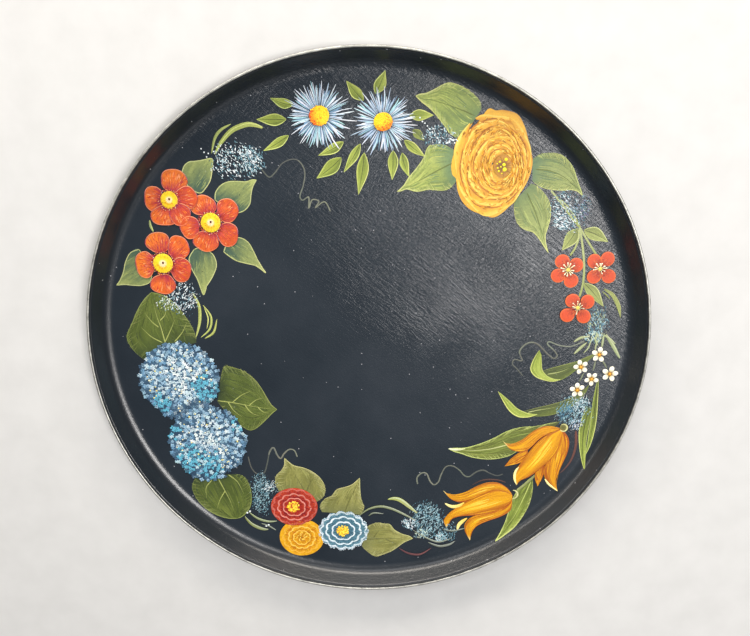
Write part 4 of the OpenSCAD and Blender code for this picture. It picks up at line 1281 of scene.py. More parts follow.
def paint_hydrangea(paint, number):
    """A ball of four-petalled florets over dark blue: brightest in the middle, turquoise in patches."""
    at, rx, ry, patches = HYDRANGEAS[number]
    outline = []
    for k in range(34):
        a = k / 34 * TAU
        bump = 1 + 0.018 * sin(9 * a + number) + 0.012 * sin(14 * a)
        if number == 0:
            bump += 0.13 * exp(-((degrees(a) - 252) / 13) ** 2) + 0.02 * exp(-((degrees(a)
                - 200) / 20) ** 2)
        else:
            bump += 0.07 * exp(-((degrees(a) - 262) / 22) ** 2) - 0.05 * exp(-((degrees(a)
                - 300) / 16) ** 2)
        outline.append((at[0] + rx * bump * cos(a), at[1] + ry * bump * sin(a)))

    def ground(x, y, share, a):
        return blend(DEEP_BLUE, CORN_BLUE, 0.15 + 0.5 * mottle(x, y, 2.2, 4) - 0.2 * share)

    paint.fill([(at[0] + (x - at[0]) * 0.95, at[1] + (y - at[1]) * 0.95) for x, y in outline], ground, 0.10,
               9, 80, at)
    petals, sizes, colours, squashes, turns = [], [], [], [], []
    hearts = []
    total = 440
    for k in range(total):
        share = sqrt((k + 0.5) / total)
        a = k * 2.39996 + paint.between(-0.1, 0.1)
        i = int((a % TAU) / TAU * 34) % 34
        edge = dist(outline[i], at)
        spot = polar(at, edge * min(0.955, share * paint.between(0.97, 1.0)), a)
        lit = 1 - hypot(spot[0] - at[0] - 1.5, spot[1] - at[1] - 1.0) / 24
        tint = paint.between(0, 1) + lit * 0.9 - 0.35
        colour = CORN_BLUE if tint < 0.25 else MID_BLUE if tint < 0.62 else PALE_BLUE if tint < 1.05 else SNOW
        if tint < 0.02:
            colour = blend(DEEP_BLUE, CORN_BLUE, 0.5)
        for centre, r in patches:
            near = dist(spot, centre)
            if near < r * paint.between(0.6, 1.15):
                colour = TURQUOISE if paint.between(0, 1) < 0.75 else blend(TURQUOISE, SNOW, 0.5)
        if number == 0 and dist(spot, HYDRANGEAS[1][0]) < 26.4 or share > 0.94 and paint.between(0,
            1) < 0.5:
            colour = blend(colour, DEEP_BLUE, 0.55)
        turn = paint.between(0, TAU / 4)
        size = paint.between(0.52, 0.74)
        shown = 4 if paint.between(0, 1) < 0.8 else 3
        for m in range(shown):
            b = turn + m * TAU / 4
            petals.append(polar(spot, size * 0.95, b))
            sizes.append(size * paint.between(0.85, 1.15))
            squashes.append(paint.between(0.68, 0.9))
            turns.append(b)
            colours.append(paint.near(colour, 0.16))
        if paint.between(0, 1) < 0.3:
            hearts.append((spot, paint.between(0.2, 0.34), paint.near(DEEP_BLUE, 0.2)))
    order = list(range(len(petals)))
    paint.dots([petals[i] for i in order], [sizes[i] for i in order], [colours[i] for i in order], 0.12,
               [squashes[i] for i in order], [turns[i] for i in order], 0.00008)
    for k in range(34):
        spot = polar(at, rx * 0.82 * sqrt(paint.between(0.02, 1)), paint.between(0, TAU))
        hearts.append((spot, paint.between(0.35, 0.6),
                       paint.near(srgb(222, 210, 132) if k % 2 else srgb(236, 228, 186), 0.06)))
    paint.level += 0.05
    paint.dots([h[0] for h in hearts], [h[1] for h in hearts], [h[2] for h in hearts], 0.1)


OLIVE_LEAF = (srgb(46, 56, 26), srgb(78, 92, 38), srgb(110, 122, 54))
OLIVE_VEIN = srgb(164, 172, 96)
HYDRANGEA_LEAVES = [
    ([(-84, -27), (-82.4, -20), (-80.6, -16.8), (-76, -17.6), (-70, -20), (-64.4, -24.6), (-60.4, -30.6),
      (-57.2, -36.8), (-55, -40.4), (-52.2, -42.6)],
     [(-86, -38), (-82, -43.4), (-78, -48.4), (-73.4, -52.4), (-69, -55.2), (-65.4, -54.6), (-61.6, -51.6),
      (-58, -48), (-55, -44.8), (-52.2, -42.6)]),
    ([(-78, -83), (-73.4, -84.4), (-70.2, -90), (-69.2, -98), (-70.6, -104.8), (-74.4, -109.8),
      (-78, -111.8)],
     [(-101, -84.5), (-103.8, -91.4), (-101.4, -99), (-96.4, -105.2), (-90, -109.6), (-84, -111.6),
      (-78, -111.8)]),
    ([(-96, -3), (-96.6, 2.4), (-99, 8), (-102.6, 14), (-107.6, 20.2), (-113, 24), (-119, 25.6)],
     [(-126, -13), (-131.6, -7.4), (-134.6, 0), (-131, 8), (-127.6, 15), (-123.6, 21), (-119, 25.6)]),
]
HYDRANGEA_RIBS = [
    [[(-86, -37.4), (-76, -38.8), (-65, -41), (-54, -42.6)], [(-77.5, -38.4), (-72, -34), (-66, -31.2)],
     [(-68, -40.2), (-64, -37), (-59.6, -35.6)],
     [(-70.6, -39.8), (-67, -44.6), (-61.6, -47)], [(-80, -38.2), (-77, -43.4), (-72, -47.6)],
     [(-63, -41.4), (-60.4, -44), (-57, -45)]],
    [[(-88, -86.4), (-85, -93), (-82, -100), (-80, -106.6)], [(-92, -87), (-95.6, -92), (-95.6, -99)],
     [(-82, -83.5), (-77, -88), (-73.4, -96)], [(-84.6, -94), (-88, -100), (-90, -106)]],
    [[(-113.4, -3.4), (-115, 5), (-117, 12), (-118.2, 19.4)], [(-113.6, -3), (-110, 4), (-107.2, 10)],
     [(-116.4, 5.8), (-120, 9), (-123.6, 14)],
     [(-115, -3), (-121, 0.4), (-126.4, 6)], [(-115.4, 9.6), (-112.4, 13), (-111, 18)],
     [(-108, -2.4), (-103.4, 3), (-100.4, 9)]],
]


def make_hydrangeas():
    for k in range(2):
        paint = Paint(60 + k)
        paint.level = 0.12 + 0.14 * k
        paint_hydrangea(paint, k)
        paint.finish(f"hydrangea_{k + 1}_florets", DAB_PAINT, "blue_paint", f"hydrangea_{k + 1}")
    for k, (upper, lower) in enumerate(HYDRANGEA_LEAVES):
        leaf = Paint(62 + k)
        leaf.level = 0.015
        paint_broad_leaf(leaf, upper, lower, OLIVE_LEAF, srgb(132, 142, 76), srgb(40, 54, 38),
                         HYDRANGEA_RIBS[k], OLIVE_VEIN, 110, 0.4, 0.05)
        leaf.finish(f"hydrangea_leaf_stroke_{k + 1}", LEAF_PAINT, "olive_paint", f"hydrangea_leaf_{k + 1}")


# ---------------------------------------------------------------- scalloped blooms

SCALLOPS = [
    ("red", (-44, -104), 13.8, 12.2, (srgb(170, 40, 26), srgb(122, 22, 30), srgb(204, 78, 38)),
     srgb(240, 168, 152), (0.94, 0.70, 0.47), 0.45),
    ("yellow", (-40, -124.2), 13.3, 12.2, (srgb(222, 156, 16), srgb(182, 106, 12), srgb(236, 186, 30)),
     srgb(246, 208, 100), (0.84, 0.60, 0.38), 0.6),
    ("blue", (-15, -119.6), 14.4, 12.6, (srgb(70, 116, 134), srgb(50, 84, 104), srgb(120, 162, 176)),
     srgb(222, 234, 240), (0.95, 0.72, 0.47), 0.75),
]


def scalloped_way(at, rx, ry, lobes, turn, steps):
    """A ring of small arches."""
    way = []
    for a in np.linspace(0, TAU, steps, endpoint=False):
        arch = 0.93 + 0.11 * abs(sin(lobes * (a + turn) / 2))
        way.append((at[0] + rx * arch * cos(a), at[1] + ry * arch * sin(a)))
    return way


def paint_scallop(paint, number):
    """Rings of arched petals stepping up to the middle, each ring edged with a lighter wavy line."""
    name, at, rx, ry, (base, dark, light), edge, rings, strength = SCALLOPS[number]
    seed = paint.between(0, 50)
    frill = scalloped_way(at, rx, ry, 15, 0.2, 90) if number == 2 else [(at[0] + rx * cos(a),
        at[1] + ry * sin(a)) for a in np.linspace(0, TAU, 60, endpoint=False)]

    def body(x, y, share, a):
        wave = 0.5 + 0.5 * np.sin(share * 19 + seed)
        ray = mottle(a * 16, share * 3, 1.0, seed) - 0.5
        tone = smooth_step(0.35 + 0.45 * wave + 0.8 * ray)
        colour = blend(dark, base, tone)
        return blend(colour, light, 0.6 * smooth_step(share * 1.3 - 0.55 + 0.6 * ray))

    paint.fill(frill, body, 0.08, 16, len(frill), at, False)
    for step, ring in enumerate(rings):
        paint.level += 0.03
        count = 46 - 10 * step
        marks = []
        for k in range(count * 2):
            a = (k + paint.between(-0.5, 0.5)) / count / 2 * TAU
            near, far = ring - paint.between(0.13, 0.22), ring - paint.between(0.0, 0.05)
            marks.append((oval_place(at, rx * near, ry * near, a), oval_place(at, rx * far, ry * far, a),
                          paint.between(0.35, 0.7), paint.near(dark if k % 3 else base, 0.16),
                          paint.near(light if k % 2 else base, 0.12)))
        paint.touches(marks, 0.04, "foot")
        lobes = (13, 11, 8)[step]
        for lap in range(2 if strength > 0.4 else 1):
            line = scalloped_way(at, rx * ring * (1 - 0.035 * lap), ry * ring * (1 - 0.035 * lap), lobes,
                0.4 * step + 0.05 * lap, 130)
            weight = strength * (1.0 if step or number == 2 else 0.45)
            for piece in range(6):
                part = line[piece * 130 // 6: (piece + 1) * 130 // 6 + 2]
                colour = blend(base, edge, min(1.0, weight * paint.between(0.9, 1.6)))
                paint.stroke(part, (0.62 if number == 2 else 0.5) * paint.between(0.7, 1.25),
                             paint.near(colour, 0.06), None, 0.07, 24, "even")
    if number == 2:
        marks = []
        for k in range(90):
            a = k / 90 * TAU + paint.between(-0.03, 0.03)
            arch = 0.93 + 0.11 * abs(sin(15 * (a + 0.2) / 2))
            foot, head = (oval_place(at, rx * arch * far, ry * arch * far, a) for far in (0.9, 1.02))
            marks.append((foot, head, 0.5, base, edge))
        paint.touches(marks, 0.05, "foot")
    if number == 1:
        marks = []
        middle = (at[0], at[1] + 1)
        for k in range(46):
            a, near = paint.between(0, TAU), paint.between(0.02, 0.24)
            far = near + 0.09
            colour = paint.near(srgb(196, 132, 28) if k % 2 else srgb(250, 212, 90), 0.1)
            marks.append((oval_place(middle, rx * near, ry * near, a),
                          oval_place(middle, rx * far, ry * far, a + 0.4), 0.5, colour, colour))
        paint.touches(marks, 0.06)


def paint_scallop_eye(paint, number):
    name, at, rx, ry, shades, edge, rings, strength = SCALLOPS[number]
    gold, lemon, rust = srgb(240, 176, 28), srgb(252, 222, 70), srgb(190, 84, 34)
    spots, sizes, colours = [], [], []
    for k in range(52):
        share = sqrt((k + 0.5) / 52)
        spots.append(polar((at[0] - 0.4, at[1]), 3.6 * share, k * 2.39996 + paint.between(-0.2, 0.2)))
        sizes.append(paint.between(0.45, 0.75))
        colours.append(paint.near(rust if k % 5 == 4 and number == 0 else gold if k % 2 else lemon, 0.08))
    paint.dots(spots, sizes, colours, 0.16)


KHAKI_LEAF = (srgb(88, 90, 44), srgb(130, 130, 68), srgb(168, 166, 102))
SCALLOP_LEAVES = [
    ([(-52, -95), (-54.6, -89.4), (-53.8, -84), (-50.6, -80.4), (-49, -77.4), (-48.8, -75), (-48.8, -72.8)],
     [(-30.4, -100.6), (-26.6, -97), (-25.6, -91.6), (-28, -86), (-32.6, -81.6), (-38, -79), (-44, -77.4),
      (-48.8, -72.8)]),
    ([(-27.6, -107.4), (-28.6, -103), (-25.4, -98.6), (-21.6, -96.8), (-18.6, -92.8), (-13.6, -91.2),
      (-9.4, -89.4), (-5.2, -85.2)],
     [(-5, -109), (-2.8, -104.6), (-4.4, -99), (-5, -94), (-5.2, -89.6), (-5.2, -85.2)]),
    ([(-2.5, -118), (0.6, -116), (5, -114.4), (9.6, -115), (12.6, -115.4), (15.4, -119), (20, -121.8),
      (24, -123), (26.4, -124.6)],
     [(-4, -130), (-0.6, -133.6), (4, -136.6), (9.4, -135), (14.6, -132.4), (19, -128.8), (22, -126.6),
      (26.4, -124.6)]),
]
SCALLOP_RIBS = [
    [[(-37, -95), (-40, -89), (-44, -82)], [(-36.6, -94), (-34, -88), (-32, -85)]],
    [[(-14, -107), (-11, -99), (-7, -90)]],
    [[(-2, -125.4), (8, -124.8), (20, -124.6)], [(3, -124), (5, -121), (6.4, -119)],
     [(10, -125), (14, -127), (17, -128.4)]],
]


def make_scallops():
    for k in (1, 2, 0):
        paint = Paint(70 + k)
        paint.level = (0.26, 0.12, 0.14)[k]
        paint_scallop(paint, k)
        paint.finish(f"scallop_{SCALLOPS[k][0]}_petals", PETAL_PAINT,
                     ("red_paint", "orange_paint", "blue_paint")[k], f"scallop_{SCALLOPS[k][0]}")
    eyes = Paint(73)
    eyes.level = 0.50
    paint_scallop_eye(eyes, 0)
    eyes.level = 0.42
    paint_scallop_eye(eyes, 2)
    eyes.finish("scallop_eye_dots", PETAL_PAINT, "gold_paint", "scallop_eyes")
    for k, (upper, lower) in enumerate(SCALLOP_LEAVES):
        leaf = Paint(74 + k)
        leaf.level = 0.015
        paint_broad_leaf(leaf, upper, lower, KHAKI_LEAF, srgb(186, 184, 124), srgb(112, 116, 72),
                         SCALLOP_RIBS[k], srgb(96, 98, 52), 80, 0.4)
        leaf.finish(f"scallop_leaf_stroke_{k + 1}", LEAF_PAINT, "sage_paint", f"scallop_leaf_{k + 1}")


# ---------------------------------------------------------------- tulips

TULIP_BODY = srgb(208, 140, 0)
TULIP_DARK = srgb(160, 78, 2)
TULIP_LIGHT = srgb(232, 176, 6)
TULIP_PALE = srgb(244, 204, 78)
TULIP_TIP = srgb(248, 236, 160)


def paint_tulip_petal(paint, left, right, dark, pale, tip_from):
    """One petal brushed from foot to tip: dark folds, a light middle, cream where it curls over."""
    seed = paint.between(0, 40)

    def petal(x, y, t, s):
        fine = mottle(s * 9, t * 2.6, 1.0, seed) - 0.5
        fold = np.abs(2 * s - 1) ** 2.4
        tone = smooth_step(0.75 - dark - 0.55 * fold + 0.6 * fine + 0.12 * t)
        colour = blend(TULIP_DARK, TULIP_BODY, tone * 1.15)
        colour = blend(colour, TULIP_LIGHT, 0.55 * smooth_step(0.9 - dark * 1.2 - fold * 1.6 + 0.8 * fine))
        return blend(colour, TULIP_TIP, smooth_step((t - tip_from) / (1.02 - tip_from) + 0.3 * fine))

    paint.loft(left, right, petal, 0.07, 46, 13)
    a, b = smooth_way(left, 60), smooth_way(right, 60)
    for k in range(46):
        s = paint.between(0.04, 0.96)
        i = int(paint.between(1, 38))
        j = min(int(60 * tip_from) + 4, i + int(paint.between(10, 24)))
        if j <= i + 3:
            continue
        way = [tuple(a[m] * (1 - s) + b[m] * s) for m in (i, (i + j) // 2, j)]
        side = abs(2 * s - 1)
        colour = TULIP_DARK if side > paint.between(0.45, 1.3) or paint.between(0,
            1) < dark * 0.7 else TULIP_LIGHT if paint.between(0, 1) < 0.5 else TULIP_BODY
        paint.stroke(way, paint.between(0.3, 0.6), paint.near(colour, 0.1), paint.near(TULIP_BODY, 0.1),
                     0.03, 8)
    for k in range(pale):
        s = 0.3 + 0.4 * (k + 0.5) / pale + paint.between(-0.04, 0.04)
        i = int(paint.between(10, 24))
        j = i + int(paint.between(12, 22))
        way = [tuple(a[m] * (1 - s) + b[m] * s) for m in (i, (i + j) // 2, j)]
        paint.stroke(way, paint.between(0.5, 0.95), paint.near(TULIP_PALE, 0.06),
                     paint.near(TULIP_LIGHT, 0.06), 0.05, 10)
    paint.stroke(left[:-1], 0.4, paint.near(TULIP_DARK, 0.12), TULIP_BODY, 0.04, 26)
    paint.stroke(right[:-1], 0.4, paint.near(srgb(190, 100, 24), 0.12), TULIP_DARK, 0.04, 26)


TULIP_1 = [
    # left edge, right edge, how dark, pale streaks, where the cream tip starts
    ([(110, -53.4), (104, -52.2), (99, -53), (94, -56), (89.6, -60), (85, -62.6), (80.6, -63.6),
      (77.4, -61.4)],
     [(110, -55), (103, -57), (98, -60.4), (94, -65), (90.4, -67.8), (86, -68), (81.6, -66.4),
      (77.4, -61.4)], 0.22, 0, 0.84),
    ([(92, -66.6), (87, -69), (82.4, -72.8), (79.2, -77.2)],
     [(92.4, -71), (89, -74.4), (84.4, -76.2), (79.2, -77.2)], 0.5, 0, 0.95),
    ([(97.2, -79.6), (97.2, -84), (98, -87.6), (99, -89.9)],
     [(103, -76.4), (102, -82), (100.6, -86.4), (99, -89.9)], 0.55, 0, 0.92),
    ([(110.4, -56), (107, -66), (103.6, -74), (102.4, -81), (103.8, -86), (107, -90), (110.6, -92.8)],
     [(111.4, -54.6), (114.4, -58.6), (115.4, -63), (114.6, -69), (112.2, -76), (109.6, -84),
      (110.6, -92.8)], 0.3, 1, 0.93),
    ([(110.6, -53.8), (103.6, -56.8), (97.4, -62), (92.4, -69), (88.4, -75.4), (85.6, -80), (84.8, -84.6),
      (86.6, -89.2)],
     [(111.4, -54.6), (111, -59), (109.4, -66), (105.4, -72.6), (99.6, -78.6), (94, -83.4), (89, -86),
      (86.6, -89.2)], 0.02, 7, 0.92),
]
TULIP_2 = [
    ([(84, -94.6), (81, -91), (76, -88), (70, -87.8), (64, -90), (57, -94), (51, -95.6), (47, -95.2),
      (43.8, -93)],
     [(84, -96.4), (78, -93.6), (70, -94.6), (62, -98.2), (57, -100.2), (52.4, -100.2), (48, -98.2),
      (43.8, -93)], 0.24, 2, 0.86),
    ([(84.6, -98.6), (80, -103.6), (72, -107.2), (64, -109), (59.6, -111.4), (57.2, -115.4), (57.6, -120),
      (60.6, -125.6)],
     [(84.6, -100), (83.6, -105.6), (78, -109.6), (70.4, -112.6), (65, -115.4), (62.2, -118.6),
      (61.2, -122), (60.6, -125.6)], 0.28, 1, 0.88),
    ([(84.4, -95.4), (80, -93.2), (74, -92.2), (67, -95), (60, -99), (53, -103.4), (47.4, -108),
      (44.6, -112.6), (46.4, -117.2)],
     [(84.6, -98.4), (83, -102), (77.6, -105.4), (70, -107.6), (62, -108.8), (54.4, -109.4), (49.6, -111.2),
      (48, -114), (46.4, -117.2)], 0.04, 8, 0.9),
]
BLADE_SHADES = (srgb(74, 84, 32), srgb(112, 128, 48), srgb(158, 172, 76))
BRIGHT_BLADE = (srgb(96, 112, 40), srgb(142, 158, 60), srgb(192, 204, 104))
DARK_BLADE = (srgb(50, 60, 32), srgb(78, 90, 40), srgb(118, 130, 58))
BLADE_EDGE = srgb(190, 200, 116)


def paint_ring(paint, at, r, first, last, wide, colour):
    way = [polar(at, r, radians(a)) for a in np.linspace(first, last, 12)]
    paint.stroke(way, wide, colour, blend(colour, BLADE_SHADES[1], 0.3), 0.08, 24, "both")


def make_tulips():
    ringed = srgb(214, 212, 150)
    for number, petals in enumerate((TULIP_1, TULIP_2)):
        paint = Paint(80 + number)
        paint.level = 0.12
        for left, right, dark, pale, tip_from in petals:
            paint_tulip_petal(paint, left, right, dark, pale, tip_from)
        if number == 0:
            paint.stroke([(87.4, -77.4), (85.6, -80.4), (85.2, -84.6), (86.4, -88.6)], 1.5, TULIP_TIP, None,
                         0.08, 14)
            paint.stroke([(102.8, -85), (105.6, -88.6), (110.4, -92.4)], 1.2, TULIP_TIP, None, 0.08, 12)
            paint.disc((111.4, -52.8), 1.9, lambda x, y, s,
                       a: blend(srgb(84, 84, 40), srgb(120, 116, 60), s), 0.05, 1.0, 0, 4, 18)
            paint_ring(paint, (111.6, -53), 2.2, -150, 130, 0.9, ringed)
        else:
            paint.stroke([(56.4, -100.6), (53, -102.8), (49, -103.2), (45, -101.2)], 2.1, TULIP_PALE,
                         TULIP_TIP, 0.09, 16)
            paint.stroke([(58.4, -110.8), (55.6, -113), (53.6, -115.4), (52.8, -118.6)], 2.2, TULIP_PALE,
                         TULIP_TIP, 0.09, 16)
            paint_ring(paint, (84.8, -95.2), 2.7, 95, -95, 1.1, ringed)
        paint.finish(f"tulip_{number + 1}_petals", PETAL_PAINT, "gold_paint", f"tulip_{number + 1}")
    leaf = Paint(82)
    leaf.level = 0.015
    upper = [(110, -49.4), (104, -50.4), (96, -52.4), (88, -53), (80, -55.4), (72, -60), (64, -63.6),
             (56, -66), (50, -66.2), (46.2, -66.5)]
    lower = [(103, -56), (94, -61), (88, -66), (82, -70.4), (75, -72.4), (68, -72.8), (60, -71.6),
             (54, -69.4), (50, -68.2), (46.2, -66.5)]
    paint_broad_leaf(leaf, upper, lower, (srgb(70, 76, 28), srgb(110, 122, 48), srgb(150, 164, 78)),
                     BLADE_EDGE, srgb(66, 74, 34),
                     [[(80, -64), (70, -66.6), (60, -67.6), (54, -67.4)]], srgb(196, 202, 136), 90, 0.42,
                     0.0, 0.25)
    leaf.stroke([(56, -66.4), (51, -66.8), (46.4, -66.5)], 1.6, srgb(206, 212, 150), srgb(240, 240, 214),
                0.06, 10)
    leaf.finish("tulip_leaf_stroke_1", LEAF_PAINT, "blade_green_paint", "tulip_leaf_1")
    leaf = Paint(83)
    leaf.level = 0.015
    upper = [(95.6, -83.6), (92.4, -87), (88, -92), (85, -98), (83, -106), (81, -114), (78.4, -120.4),
             (75.4, -125)]
    lower = [(95.6, -83.6), (96.2, -92), (94.8, -101), (91.4, -109), (86.4, -116), (80.4, -121.2),
             (75.4, -125)]
    paint_broad_leaf(leaf, upper, lower, BLADE_SHADES, BLADE_EDGE, srgb(70, 80, 36),
                     [[(95, -87), (91, -98), (86, -110), (79, -120.6)]], srgb(184, 196, 108), 70, 0.4,
                     -0.05)
    leaf.stroke([(97.4, -82.6), (93, -87.4), (87, -92.6)], 1.3, srgb(122, 128, 84), srgb(150, 156, 100),
                0.06, 12, "even")
    leaf.finish("tulip_leaf_stroke_2", LEAF_PAINT, "blade_green_paint", "tulip_leaf_2")
    blades = Paint(84)
    blades.level = 0.015
    paint_blade(blades, [(129.6, -24), (130, -34), (130.2, -45), (129.6, -55), (128, -63), (125.4, -70)],
                [(129, -24), (127.6, -36), (127.2, -48), (126.6, -57), (126.2, -63), (125.4, -70)],
                BLADE_SHADES, BLADE_EDGE, 18, 0.4, 0.2)
    paint_blade(blades, [(124, -40), (121.8, -49), (121, -57), (122.2, -67), (124.8, -79)],
                [(127.4, -41), (126.4, -51), (125.4, -60), (125.4, -69), (124.8, -79)], BLADE_SHADES,
                BLADE_EDGE, 18, 0.4, 0.1)
    blades.stroke([(119, -55), (119.6, -64), (117.6, -73), (113.6, -79.4), (110.4, -82.2)], 1.5,
                  srgb(104, 62, 52), srgb(84, 58, 52), 0.05, 24, "tip")
    blades.stroke([(60.6, -89.4), (67, -86.2), (75, -86), (80.4, -87.6)], 0.9, srgb(70, 50, 46),
                  srgb(90, 60, 50), 0.03, 16)
    blades.finish("tulip_blade_strokes", LEAF_PAINT, "blade_green_paint", "tulip_blades")


# ---------------------------------------------------------------- small red flowers

BERRIES = [
    ((108.4, 38.6), [(105, 43.2), (112.6, 41.2), (103.2, 35.4), (110.4, 32.6)]),
    ((125.6, 39.2), [(122.2, 43.4), (129.2, 44.6), (130.4, 35.2), (122.6, 35)]),
    ((115, 17.6), [(111.8, 21.6), (120, 21), (109.4, 13.4), (118.4, 12.8)]),
]
BERRY_RED, BERRY_DARK, BERRY_RIM = srgb(202, 68, 16), srgb(128, 30, 12), srgb(236, 120, 52)
STEM_SHADES = (srgb(96, 104, 58), srgb(140, 150, 84), srgb(176, 184, 112))


def make_berries():
    paint = Paint(90)
    for centre, petals in BERRIES:
        for px, py in petals:
            seed = paint.between(0, 40)

            def petal(x, y, share, a):
                away = np.hypot(x - centre[0], y - centre[1])
                tone = smooth_step((away - 2.0) / 4.8 + 0.8 * (mottle(a * 7, share * 3, 1.0, seed) - 0.5))
                colour = blend(BERRY_DARK, BERRY_RED, tone)
                return blend(colour, BERRY_RIM, 0.6 * smooth_step(share * 5 - 3.9))

            paint.disc((px, py), 4.0, petal, 0.05, 0.95, paint.between(0, 3), 8, 34)
            aim = atan2(py - centre[1], px - centre[0])
            marks = []
            for k in range(34):
                a = aim + paint.between(-0.6, 0.6)
                near = paint.between(1.4, 3.6)
                marks.append((polar(centre, near, a), polar(centre, near + paint.between(1.4, 3.2), a),
                              0.36,
                              paint.near(BERRY_DARK, 0.2),
                              paint.near(BERRY_RIM if k % 4 == 0 else BERRY_RED, 0.12)))
            paint.touches(marks, 0.03)
    paint.finish("small_red_petals", PETAL_PAINT, "red_paint", "berry_flowers")
    eyes = Paint(91)
    eyes.level = 0.40
    for centre, petals in BERRIES:
        marks = []
        for k in range(11):
            a = k / 11 * TAU + paint.between(-0.15, 0.15)
            far = paint.between(2.7, 4.0)
            marks.append((polar(centre, 0.6, a), polar(centre, far, a), 0.5,
                          srgb(244, 214, 130), srgb(250, 240, 206)))
        eyes.touches(marks, 0.08, "foot")
        eyes.dots([mark[1] for mark in marks], 0.42, [eyes.near(srgb(252, 244, 214), 0.04) for _ in marks],
                  0.1)
        eyes.disc(centre, 1.0, lambda x, y, s, a: blend(srgb(240, 186, 50), srgb(250, 220, 110), s), 0.14,
                  1.0, 0, 4, 16)
    eyes.finish("small_red_stamens", DAB_PAINT, "cream_paint", "berry_eyes")
    sprig = Paint(92)
    stems = [
        ([(96.6, 81), (101, 76), (105.6, 70.4), (109.4, 65.6), (113, 61.6)], 1.1),
             ([(101.4, 76.6), (106, 72.6), (110.4, 66.6), (113.4, 61.4)], 0.8),
        ([(113, 61.6), (113, 56), (111.4, 50.4), (109, 46.4)], 1.1),
             ([(113.2, 61.4), (115.6, 50), (117, 40), (117, 31), (115.6, 23.6)], 1.2),
        ([(113.2, 61.4), (117, 55.6), (120.4, 50.6), (123.2, 46.6)], 1.1),
    ]
    for way, wide in stems:
        sprig.stroke(way, wide, srgb(168, 176, 124), srgb(150, 160, 92), 0.08, 26, "even")
        sprig.stroke(way, wide * 0.35, srgb(204, 208, 162), srgb(186, 194, 128), 0.05, 26, "both", 1.0,
                     0.04)
    for base, tip, wide, bow in [((112, 61), (104.4, 49.2), 6.6, 0.4),
        ((115.4, 60.2), (128.8, 53.8), 6.6, 0.7), ((117.4, 31.4), (129, 18.2), 5.6, 0.6)]:
        left, right = oval_edges(base, tip, wide, bow)
        paint_blade(sprig, left, right, STEM_SHADES, srgb(196, 202, 134), 12, 0.4)
    for left, right in [(((128.6, 28.4), (134, 25.4), (138, 19), (138.9, 11.8)),
                         ((128.6, 27.6), (133, 24), (136.4, 18), (138.9, 11.8)))]:
        paint_blade(sprig, left, right, STEM_SHADES, srgb(170, 178, 116), 8, 0.35, 0.0, False)
    sprig.stroke([(127.6, 26.8), (130, 24.8), (132.4, 22.4)], 0.6, STEM_SHADES[1], None, 0.05, 8)
    sprig.finish("small_red_stems", LINE_PAINT, "sage_paint", "berry_sprig")


# ---------------------------------------------------------------- cream flowers

CREAMS = [((129, -9.4), 4.5, 12), ((119.2, -16.6), 4.3, 40), ((135.6, -20.6), 4.7, 5),
          ((125.6, -23.6), 4.1, 50), ((118, -30.2), 4.4, 25)]


